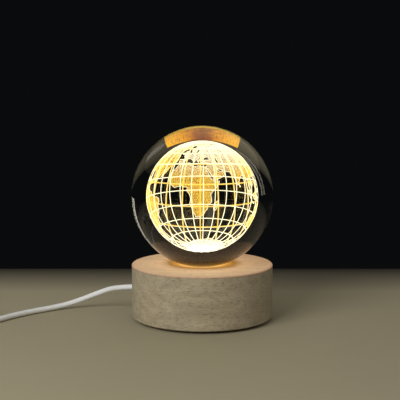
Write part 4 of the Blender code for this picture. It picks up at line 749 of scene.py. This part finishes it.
def cord_curve(name, points, finish):
    """A round cord along the points, as a curve of one open spline."""
    curve = bpy.data.curves.new(name, "CURVE")
    curve.dimensions = "3D"
    curve.bevel_depth = CORD_DIAMETER / 2
    curve.bevel_resolution = 4
    curve.use_fill_caps = True
    spline = curve.splines.new("POLY")
    spline.points.add(len(points) - 1)
    for point, place in zip(spline.points, points):
        point.co = (*place, 1)
    spline.use_smooth = True
    curve.materials.append(finish)
    piece = bpy.data.objects.new(name, curve)
    bpy.context.scene.collection.objects.link(piece)
    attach(piece, "lamp")
    return piece


def raised_marks(name, node, finish, body):
    """The moulded line and ring for on and off, laid on the top of a rocker."""
    low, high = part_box(node)
    middle = (low + high) / 2
    reach = (high.y - low.y) * 0.30
    size = (high.x - low.x) * 0.34
    line = size * 0.16
    shape = bmesh.new()
    bar = Matrix.Translation((middle.x, middle.y - reach, 0)) @ Matrix.Diagonal((size, line, line, 1))
    bmesh.ops.create_cube(shape, size=1.0, matrix=bar)
    bmesh.ops.subdivide_edges(shape, edges=shape.edges, cuts=3, use_grid_fill=True)
    ring = bmesh.new()
    section = bmesh.ops.create_circle(ring, cap_ends=False, segments=8, radius=line / 2)["verts"]
    stand = Matrix.Translation((size / 2, 0, 0)) @ Matrix.Rotation(math.pi / 2, 4, "X")
    bmesh.ops.transform(ring, matrix=stand, verts=section)
    bmesh.ops.spin(ring, geom=list(ring.verts) + list(ring.edges), axis=(0, 0, 1), cent=(0, 0, 0),
                   steps=32, angle=math.tau, use_merge=True)
    bmesh.ops.translate(ring, vec=(middle.x, middle.y + reach, 0), verts=ring.verts)
    bmesh.ops.recalc_face_normals(ring, faces=ring.faces)
    add_shape(shape, ring)
    source = bmesh.new()
    source.from_mesh(NODES[node].data)
    surface = BVHTree.FromBMesh(source)
    source.free()
    for vertex in shape.verts:
        above = Vector((vertex.co.x, vertex.co.y, high.z + size))
        hit = surface.ray_cast(above, Vector((0, 0, -1)))[0]
        if hit is None:
            raise RuntimeError(f"the marks of {node} miss its top")
        vertex.co.z += hit.z
    return finished_piece(name, shape, [finish], body)


# Globe helpers

def globe_turn(settings):
    """Turns the globe's own frame, pole up and prime meridian on +X, to its place in the ball."""
    face = Matrix.Rotation(-math.pi / 2 - settings.front, 4, "Z")
    lean = Matrix.Rotation(-settings.lean, 4, "X")
    return Matrix.Translation(BALL_CENTRE) @ lean @ face


def on_globe(longitude, latitude, radius):
    """Points on the globe, in its own frame, from degrees."""
    lon = np.radians(longitude)
    lat = np.radians(latitude)
    return np.stack([np.cos(lat) * np.cos(lon), np.cos(lat) * np.sin(lon), np.sin(lat)], axis=-1) * radius


def inside_outline(longitude, latitude, outline):
    """Which points lie inside an outline, all in degrees."""
    inside = np.zeros(len(longitude), bool)
    for shift in (-360, 0, 360):
        lon = longitude + shift
        for (x0, y0), (x1, y1) in zip(outline, outline[1:] + outline[:1]):
            crosses = (y0 > latitude) != (y1 > latitude)
            if y0 != y1:
                inside ^= crosses & (lon < x0 + (latitude - y0) / (y1 - y0) * (x1 - x0))
    return inside


def engraved_ring(shape, radius, height, width, depth, turn, lean):
    """One closed engraved band: a small section spun about the polar axis, or turned on to a meridian."""
    section = bmesh.ops.create_circle(shape, cap_ends=True, segments=4, radius=0.5)["verts"]
    square = Matrix.Rotation(math.pi / 4, 4, "Z")
    size = Matrix.Diagonal((width * math.sqrt(2), depth * math.sqrt(2), 1, 1))
    stand = Matrix(((0, 1, 0, 0), (0, 0, 1, 0), (1, 0, 0, 0), (0, 0, 0, 1)))
    place = Matrix.Translation((radius, 0, height)) @ Matrix.Rotation(-lean, 4, "Y")
    bmesh.ops.transform(shape, matrix=place @ stand @ size @ square, verts=section)
    faces = list({face for vertex in section for face in vertex.link_faces})
    edges = list({edge for vertex in section for edge in vertex.link_edges})
    bmesh.ops.spin(shape, geom=section + faces + edges, axis=(0, 0, 1), cent=(0, 0, 0),
                   steps=RING_STEPS, angle=math.tau, use_merge=True)
    bmesh.ops.delete(shape, geom=[face for face in faces if face.is_valid], context="FACES_ONLY")
    bmesh.ops.transform(shape, matrix=turn, verts=shape.verts)


def add_shape(whole, part):
    """Joins one bmesh into another."""
    mesh = bpy.data.meshes.new("joined")
    part.to_mesh(mesh)
    part.free()
    whole.from_mesh(mesh)
    bpy.data.meshes.remove(mesh)


def split_sides(shape):
    """Gives faces that look into the globe the second finish."""
    side_on = -0.3
    for face in shape.faces:
        out = face.calc_center_median() - BALL_CENTRE
        face.material_index = 0 if face.normal.dot(out) > side_on * out.length else 1


def engraved_grid(settings, finishes):
    """Parallels and meridians as flat bands, with a painted glow that is cream on faces looking out and gold
    on faces looking into the globe.
    """
    whole = bmesh.new()
    place = globe_turn(settings)
    for k in range(settings.parallels):
        latitude = math.pi * ((k + 1) / (settings.parallels + 1) - 0.5)
        part = bmesh.new()
        engraved_ring(part, settings.radius * math.cos(latitude), settings.radius * math.sin(latitude),
                      settings.line_width, settings.line_depth, place, latitude)
        add_shape(whole, part)
    upright = Matrix.Rotation(math.pi / 2, 4, "X")
    for k in range(settings.meridians):
        part = bmesh.new()
        turn = place @ Matrix.Rotation(math.pi * k / settings.meridians, 4, "Z") @ upright
        engraved_ring(part, settings.radius, 0.0, settings.line_width, settings.line_depth, turn, 0.0)
        add_shape(whole, part)
    bmesh.ops.recalc_face_normals(whole, faces=whole.faces)
    split_sides(whole)
    return finished_piece("globe_grid", whole, finishes, "ball")


def outline_path(outline, radius):
    """An outline's points on the globe, with no long steps."""
    longitude = []
    latitude = []
    for (x0, y0), (x1, y1) in zip(outline, outline[1:] + outline[:1]):
        wide = (x1 - x0 + 180) % 360 - 180
        steps = max(1, math.ceil(math.hypot(wide * math.cos(math.radians(y0)), y1 - y0) / 4))
        for k in range(steps):
            longitude.append(x0 + wide * k / steps)
            latitude.append(y0 + (y1 - y0) * k / steps)
    return on_globe(np.array(longitude), np.array(latitude), radius)


def engraved_coasts(settings, finishes):
    """Every coastline as a fine closed thread on the globe."""
    curve = bpy.data.curves.new("globe_coasts", "CURVE")
    curve.dimensions = "3D"
    curve.bevel_depth = settings.coast_width / 2
    curve.bevel_resolution = 1
    outlines = list(LANDS.values()) + [ICE_CAP] + list(INLAND_SEAS.values())
    for outline in outlines:
        path = outline_path(outline, settings.radius)
        spline = curve.splines.new("POLY")
        spline.points.add(len(path) - 1)
        spline.use_cyclic_u = True
        for point, spot in zip(spline.points, path):
            point.co = (*spot, 1)
    holder = bpy.data.objects.new("globe_coasts_line", curve)
    bpy.context.scene.collection.objects.link(holder)
    graph = bpy.context.evaluated_depsgraph_get()
    mesh = bpy.data.meshes.new_from_object(holder.evaluated_get(graph))
    bpy.data.objects.remove(holder)
    bpy.data.curves.remove(curve)
    shape = bmesh.new()
    shape.from_mesh(mesh)
    bpy.data.meshes.remove(mesh)
    bmesh.ops.remove_doubles(shape, verts=shape.verts, dist=MERGE / 10)
    bmesh.ops.transform(shape, matrix=globe_turn(settings), verts=shape.verts)
    bmesh.ops.recalc_face_normals(shape, faces=shape.faces)
    split_sides(shape)
    return finished_piece("globe_coasts", shape, finishes, "ball")


def land_dots(settings):
    """Places of the engraved dots that fill the land, in longitude and latitude, and evenly spread."""
    area = 4 * math.pi * settings.radius**2
    count = int(area / settings.dot_spacing**2)
    rows_astray = 30
    turns_astray = 0.002
    rng = np.random.default_rng(3)
    order = np.arange(count) + 0.5 + rng.uniform(-rows_astray, rows_astray, count)
    latitude = np.degrees(np.arcsin(1 - 2 * np.clip(order, 0.5, count - 0.5) / count))
    golden = 180 * (3 - math.sqrt(5))
    order = np.arange(count) + rng.uniform(-turns_astray, turns_astray, count)
    longitude = (order * golden) % 360 - 180
    land = np.zeros(count, bool)
    for outline in LANDS.values():
        land |= inside_outline(longitude, latitude, outline)
    for outline in INLAND_SEAS.values():
        land &= ~inside_outline(longitude, latitude, outline)
    shore = sorted(ICE_CAP, key=lambda point: point[0]) + [(ICE_CAP[0][0] + 360, ICE_CAP[0][1])]
    land |= latitude < np.interp(longitude, *zip(*shore))
    return longitude[land], latitude[land]


def engraved_land(settings, finish):
    """The land as a cloud of tiny three-sided marks in the glass."""
    longitude, latitude = land_dots(settings)
    rng = np.random.default_rng(7)
    spread = settings.radius - rng.uniform(0.0, 1.0, len(longitude)) * settings.line_depth
    spots = on_globe(longitude, latitude, spread[:, None])
    spins = rng.uniform(0, math.tau, len(spots))
    sizes = settings.dot_size * rng.uniform(0.8, 1.15, len(spots))
    place = globe_turn(settings)
    whole = bmesh.new()
    batch = 400
    for first in range(0, len(spots), batch):
        part = bmesh.new()
        for spot, spin, size in zip(spots[first:first + batch], spins[first:], sizes[first:]):
            stand = Vector(spot).to_track_quat("Z", "Y").to_matrix().to_4x4()
            matrix = place @ Matrix.Translation(spot) @ stand @ Matrix.Rotation(spin, 4, "Z")
            bmesh.ops.create_cone(part, cap_ends=True, segments=3, radius1=size * 0.62, radius2=0.0,
                                  depth=size * 0.5, matrix=matrix)
        add_shape(whole, part)
    return finished_piece("globe_land", whole, [finish], "ball", math.radians(20))


# Operators

class LAMP_OT_stage(bpy.types.Operator):
    """Set up the camera, the floor and the soft lights"""

    bl_idname = "ball_lamp.stage"
    bl_label = "Camera, Floor and Lights"

    def execute(self, context):
        settings = context.scene.ball_lamp_stage
        self.camera(context, settings)
        self.floor(settings)
        self.backdrop(context, settings)
        self.lights(settings)
        return {"FINISHED"}

    def camera(self, context, settings):
        lens = bpy.data.cameras.new("camera")
        lens.lens = settings.camera_lens
        lens.sensor_width = 36
        lens.clip_start = 0.01
        lens.clip_end = 20
        camera = bpy.data.objects.new("camera", lens)
        camera.location = settings.camera_place
        camera.rotation_euler = (math.pi / 2 - settings.camera_pitch, 0, 0)
        context.scene.collection.objects.link(camera)
        context.scene.camera = camera
        context.scene.view_settings.view_transform = "Standard"

    def floor(self, settings):
        thickness = 0.02
        front = -0.9
        side = 0.9
        shape = bmesh.new()
        bmesh.ops.create_cube(shape, size=1.0)
        size = Matrix.Diagonal((2 * side, settings.floor_back - front, thickness, 1))
        middle = Matrix.Translation((0, (settings.floor_back + front) / 2, -thickness / 2))
        bmesh.ops.transform(shape, matrix=middle @ size, verts=shape.verts)
        bmesh.ops.bevel(shape, geom=shape.edges, offset=0.002, segments=3, profile=0.5, affect="EDGES",
                        material=-1)
        floor = finished_piece("floor", shape, [floor_paint(settings)], None)

    def backdrop(self, context, settings):
        """A dark backdrop for the camera, metal and glass, and an even soft light for the rest."""
        world = bpy.data.worlds.new("studio")
        context.scene.world = world
        sky = Glow(world, "BACKGROUND")
        by_eye, by_metal, by_glass = (sky.node("ShaderNodeLightPath", output=ray) for ray in (
            "Is Camera Ray", "Is Glossy Ray", "Is Transmission Ray"))
        seen = sky.spread(by_eye + by_metal + by_glass, 0.0, 1.0)
        even = (settings.daylight, settings.daylight, settings.daylight)
        sky.set({"Color": sky.mix(seen, even, settings.dark_colour)})

    def softbox(self, name, place, aim, size, power, colour=(1, 1, 1), shine=False, through=False):
        light = bpy.data.lights.new(name, "AREA")
        light.shape = "RECTANGLE"
        light.size, light.size_y = size
        light.energy = power
        light.color = colour
        lamp = bpy.data.objects.new(name, light)
        lamp.location = place
        lamp.rotation_euler = (Vector(aim) - Vector(place)).to_track_quat("-Z", "Y").to_euler()
        lamp.visible_camera = False
        lamp.visible_glossy = shine
        lamp.visible_transmission = through
        bpy.context.scene.collection.objects.link(lamp)
        return light

    def lights(self, settings):
        centre = (0, 0, 0.05)
        key = settings.key_power
        rim = settings.rim_power
        self.softbox("key", (-0.42, -0.56, 0.45), centre, (0.45, 0.45), key)
        self.softbox("fill", (0.7, -1.0, 0.7), centre, (0.9, 0.9), key * 0.25)
        self.softbox("back", (0.3, 1.1, 0.8), centre, (0.9, 0.9), key * 0.25)
        self.softbox("rim_left", (-0.52, 0.60, 0.50), BALL_CENTRE, (0.16, 0.30), rim * 0.25,
                     (1.0, 0.95, 0.93), shine=True)
        away = 0.80
        height = 0.43
        narrow = (0.060, 0.84)
        for name, azimuth, share in (("rim_right", 64, 0.6), ("rim_edge", 71, 0.7)):
            turn = math.radians(azimuth)
            place = (away * math.sin(turn), away * math.cos(turn), height)
            self.softbox(name, place, BALL_CENTRE, narrow, rim * share, (1.0, 0.92, 0.76), shine=True,
                         through=True)
        self.warm_card(settings)

    def warm_card(self, settings):
        """A card behind the base, facing up, that the camera sees only through the glass."""
        wide, deep = CARD_SIZE
        power = settings.glow * math.pi * wide * deep
        above = (CARD_PLACE[0], CARD_PLACE[1], 1.0)
        card = Glow(self.softbox("warm_card", CARD_PLACE, above, CARD_SIZE, power, through=True), "EMISSION")
        spot = card.node("ShaderNodeNewGeometry")
        side = card.node("ShaderNodeMath", {"operation": "ABSOLUTE"}, {0: card.along("X", spot)}) / (wide / 2)
        fibre_place = card.node("ShaderNodeMapping", {}, {"Vector": spot, "Scale": (620, 45, 1)})
        fibres = card.noise(1.0, 3, 0.6, fibre_place)
        clouds = card.noise(110, 2, vector=spot)
        warm = card.node("ShaderNodeValToRGB", {"stops": CARD_STOPS}, {
            "Fac": side + card.vary(clouds, -0.10, 0.10)})
        warm = card.mix(card.spread(fibres, 0.52, 0.66, 0.0, 0.55), warm, (0.10, 0.020, 0.0))
        front = CARD_PLACE[1] - deep / 2
        near = card.spread(card.along("Y", spot), front + 0.010, front + 0.018, 1.0, 0.0)
        card.set({"Color": card.mix(near, warm, (0.75, 0.55, 0.07))})


class LAMP_OT_cords(bpy.types.Operator):
    """Lay the cord from the base through its coil to the switch, and on to the plug"""

    bl_idname = "ball_lamp.cords"
    bl_label = "Cord"

    def execute(self, context):
        sheath = cord_sheath(context.scene.ball_lamp_cord)
        coil = coil_points()
        enter = coil_heading(COIL_START)
        leave = coil_heading(COIL_END)
        coil_in = coil[0] - enter * CORD_DIAMETER
        coil_out = coil[-1] + leave * CORD_DIAMETER
        start = [from_polar(radius, CORD_TURN, z) for radius, z in LEAD_START]
        route = (start + [Vector(p) for p in LEAD_ROUTE] + [coil_in - enter * (2 * CORD_DIAMETER)]
                 + [coil_in] + coil + [coil_out] + [Vector(p) for p in LINK_ROUTE])
        points = smooth_route(route, CORD_STEP)
        whole = cord_curve("cord_to_switch", points, sheath)
        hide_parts("cord_lead", "cord_coil", "cord_link")
        from_polar(BASE_RADIUS, CORD_TURN, LEAD_START[0][1])
        heading = Vector((math.cos(PLUG_TURN), math.sin(PLUG_TURN), 0))
        plug_in = PLUG_IN - heading * FIT
        route = [Vector(p) for p in TAIL_ROUTE] + [plug_in - heading * (2 * CORD_DIAMETER), plug_in]
        points = smooth_route(route, CORD_STEP)
        tail = cord_curve("cord_to_plug", points, sheath)
        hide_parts("cord_tail")
        return {"FINISHED"}


class LAMP_OT_ball(bpy.types.Operator):
    """Make the clear glass ball"""

    bl_idname = "ball_lamp.ball"
    bl_label = "Glass Ball"

    def execute(self, context):
        shape = bmesh.new()
        middle = Matrix.Translation(BALL_CENTRE)
        bmesh.ops.create_icosphere(shape, subdivisions=7, radius=BALL_RADIUS, matrix=middle)
        ball = finished_piece("glass_ball", shape, [clear_glass()], "ball", math.pi)
        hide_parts("crystal_ball")
        return {"FINISHED"}


class LAMP_OT_globe(bpy.types.Operator):
    """Engrave the globe inside the ball: grid, coasts and dotted land"""

    bl_idname = "ball_lamp.globe"
    bl_label = "Engraved Globe"

    def execute(self, context):
        settings = context.scene.ball_lamp_globe
        outer = engraving("engraved_line_outside", settings.outer_colour, settings.glow * 1.15)
        inner = engraving("engraved_line_inside", settings.inner_colour, settings.glow * 0.7)
        land = engraving("engraved_land", settings.land_colour, settings.glow * 1.2, lift=0.9)
        for piece in (engraved_grid(settings, [outer, inner]), engraved_coasts(settings, [outer, inner]),
                      engraved_land(settings, land)):
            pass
        return {"FINISHED"}


class LAMP_OT_base(bpy.types.Operator):
    """Dress the turned beech base, its cover, feet and screws"""

    bl_idname = "ball_lamp.base"
    bl_label = "Beech Base"

    def execute(self, context):
        beech = turned_beech(context.scene.ball_lamp_wood)
        dressed_copy("wood_base", "turned_base", beech, sharp=math.radians(28))
        black = moulded_plastic("cover_plastic", (0.025, 0.025, 0.027), 0.5, 0.00002)
        dressed_copy("bottom_cover", "base_cover", black)
        feet = rubber("foot_rubber", (0.05, 0.05, 0.05))
        for k in range(4):
            dressed_copy(f"foot_{k + 1}", f"rubber_foot_{k + 1}", feet)
        steel = metal("screw_steel", (0.62, 0.61, 0.58), 0.30)
        for name in NODES:
            if "screw" in name:
                dress_node(name, steel)
        return {"FINISHED"}


class LAMP_OT_light(bpy.types.Operator):
    """Dress the light module: cap, board, chips, resistor, wires and clamp"""

    bl_idname = "ball_lamp.light"
    bl_label = "Light Module"

    def execute(self, context):
        settings = context.scene.ball_lamp_light
        dressed_copy("light_cap", "frosted_light_cap", frosted_cap(settings))
        dress_node("led_board", board_mask())
        chips = light_chip(settings)
        for name in ("led_1", "led_2", "led_3"):
            dress_node(name, chips)
        dress_node("resistor", moulded_plastic("resistor_black", (0.03, 0.03, 0.035), 0.35))
        red = moulded_plastic("wire_red", (0.55, 0.03, 0.02), 0.38)
        black = moulded_plastic("wire_black", (0.02, 0.02, 0.02), 0.38)
        nylon = moulded_plastic("clamp_nylon", (0.70, 0.68, 0.60), 0.42)
        for node, name, finish, slot in (("red_wire", "red_lead", red, "wire_red"),
                                         ("black_wire", "black_lead", black, "wire_black"),
                                         ("cord_clamp", "cord_saddle", nylon, "clamp_nylon")):
            dressed_copy(node, name, finish, sharp=math.radians(45))
        for name in ("switch_wire_red_1", "switch_wire_red_2"):
            dress_node(name, red)
        dress_node("switch_wire_black", black)
        return {"FINISHED"}


class LAMP_OT_switch(bpy.types.Operator):
    """Dress the in-line rocker switch"""

    bl_idname = "ball_lamp.switch"
    bl_label = "In-line Switch"

    def execute(self, context):
        settings = context.scene.ball_lamp_cord
        shell = moulded_plastic("switch_plastic", settings.shell_colour, 0.40)
        rocker = moulded_plastic("rocker_plastic", shade(settings.shell_colour, 1.04), 0.30)
        brass = metal("contact_brass", (0.80, 0.58, 0.26), 0.28)
        for node, name in (("switch_lower_shell", "switch_case_lower"),
                           ("switch_upper_shell", "switch_case_upper")):
            dressed_copy(node, name, shell)
        dressed_copy("switch_rocker", "rocker_button", rocker, "rocker")
        raised_marks("rocker_marks", "switch_rocker", rocker, "rocker")
        for name in ("rocker_contact", "switch_terminal_1", "switch_terminal_2"):
            dress_node(name, brass)
        return {"FINISHED"}


class LAMP_OT_plug(bpy.types.Operator):
    """Dress the plug: moulding, metal shell, tongue and contacts"""

    bl_idname = "ball_lamp.plug"
    bl_label = "Plug"

    def execute(self, context):
        settings = context.scene.ball_lamp_cord
        shell = moulded_plastic("plug_plastic", settings.shell_colour, 0.44)
        steel = metal("plug_steel", (0.66, 0.66, 0.65), 0.24)
        dressed_copy("usb_overmold", "plug_moulding", shell)
        dressed_copy("usb_shell", "plug_shell", steel)
        dress_node("usb_tongue", moulded_plastic("tongue_plastic", (0.78, 0.78, 0.76), 0.45))
        gold = metal("contact_gold", (0.92, 0.68, 0.30), 0.22)
        for k in range(4):
            dress_node(f"usb_contact_{k + 1}", gold)
        return {"FINISHED"}


class LAMP_PT_panel(bpy.types.Panel):
    """Lists the lamp's steps and its settings"""

    bl_idname = "LAMP_PT_panel"
    bl_label = "Crystal Ball Lamp"
    bl_space_type = "VIEW_3D"
    bl_region_type = "UI"
    bl_category = "Ball Lamp"

    def draw(self, context):
        layout = self.layout
        for step in STEPS:
            layout.operator(step.bl_idname)
        for name, group in SETTINGS.items():
            settings = getattr(context.scene, name)
            box = layout.box()
            box.label(text=group.__doc__)
            for field in group.__annotations__:
                box.prop(settings, field)


STEPS = (LAMP_OT_stage, LAMP_OT_ball, LAMP_OT_globe, LAMP_OT_base, LAMP_OT_light, LAMP_OT_switch,
         LAMP_OT_plug, LAMP_OT_cords)
SETTINGS = {
    "ball_lamp_stage": StageSettings,
    "ball_lamp_globe": GlobeSettings,
    "ball_lamp_light": LampSettings,
    "ball_lamp_wood": WoodSettings,
    "ball_lamp_cord": CordSettings,
}


def register():
    for name, group in SETTINGS.items():
        bpy.utils.register_class(group)
        setattr(bpy.types.Scene, name, PointerProperty(type=group))
    for step in STEPS:
        bpy.utils.register_class(step)
    bpy.utils.register_class(LAMP_PT_panel)


def unregister():
    bpy.utils.unregister_class(LAMP_PT_panel)
    for step in reversed(STEPS):
        bpy.utils.unregister_class(step)
    for name, group in SETTINGS.items():
        delattr(bpy.types.Scene, name)
        bpy.utils.unregister_class(group)


def main():
    register()
    bpy.ops.ball_lamp.stage()
    bpy.ops.ball_lamp.ball()
    bpy.ops.ball_lamp.globe()
    bpy.ops.ball_lamp.base()
    bpy.ops.ball_lamp.light()
    bpy.ops.ball_lamp.switch()
    bpy.ops.ball_lamp.plug()
    bpy.ops.ball_lamp.cords()


if __name__ == "__main__":
    main()
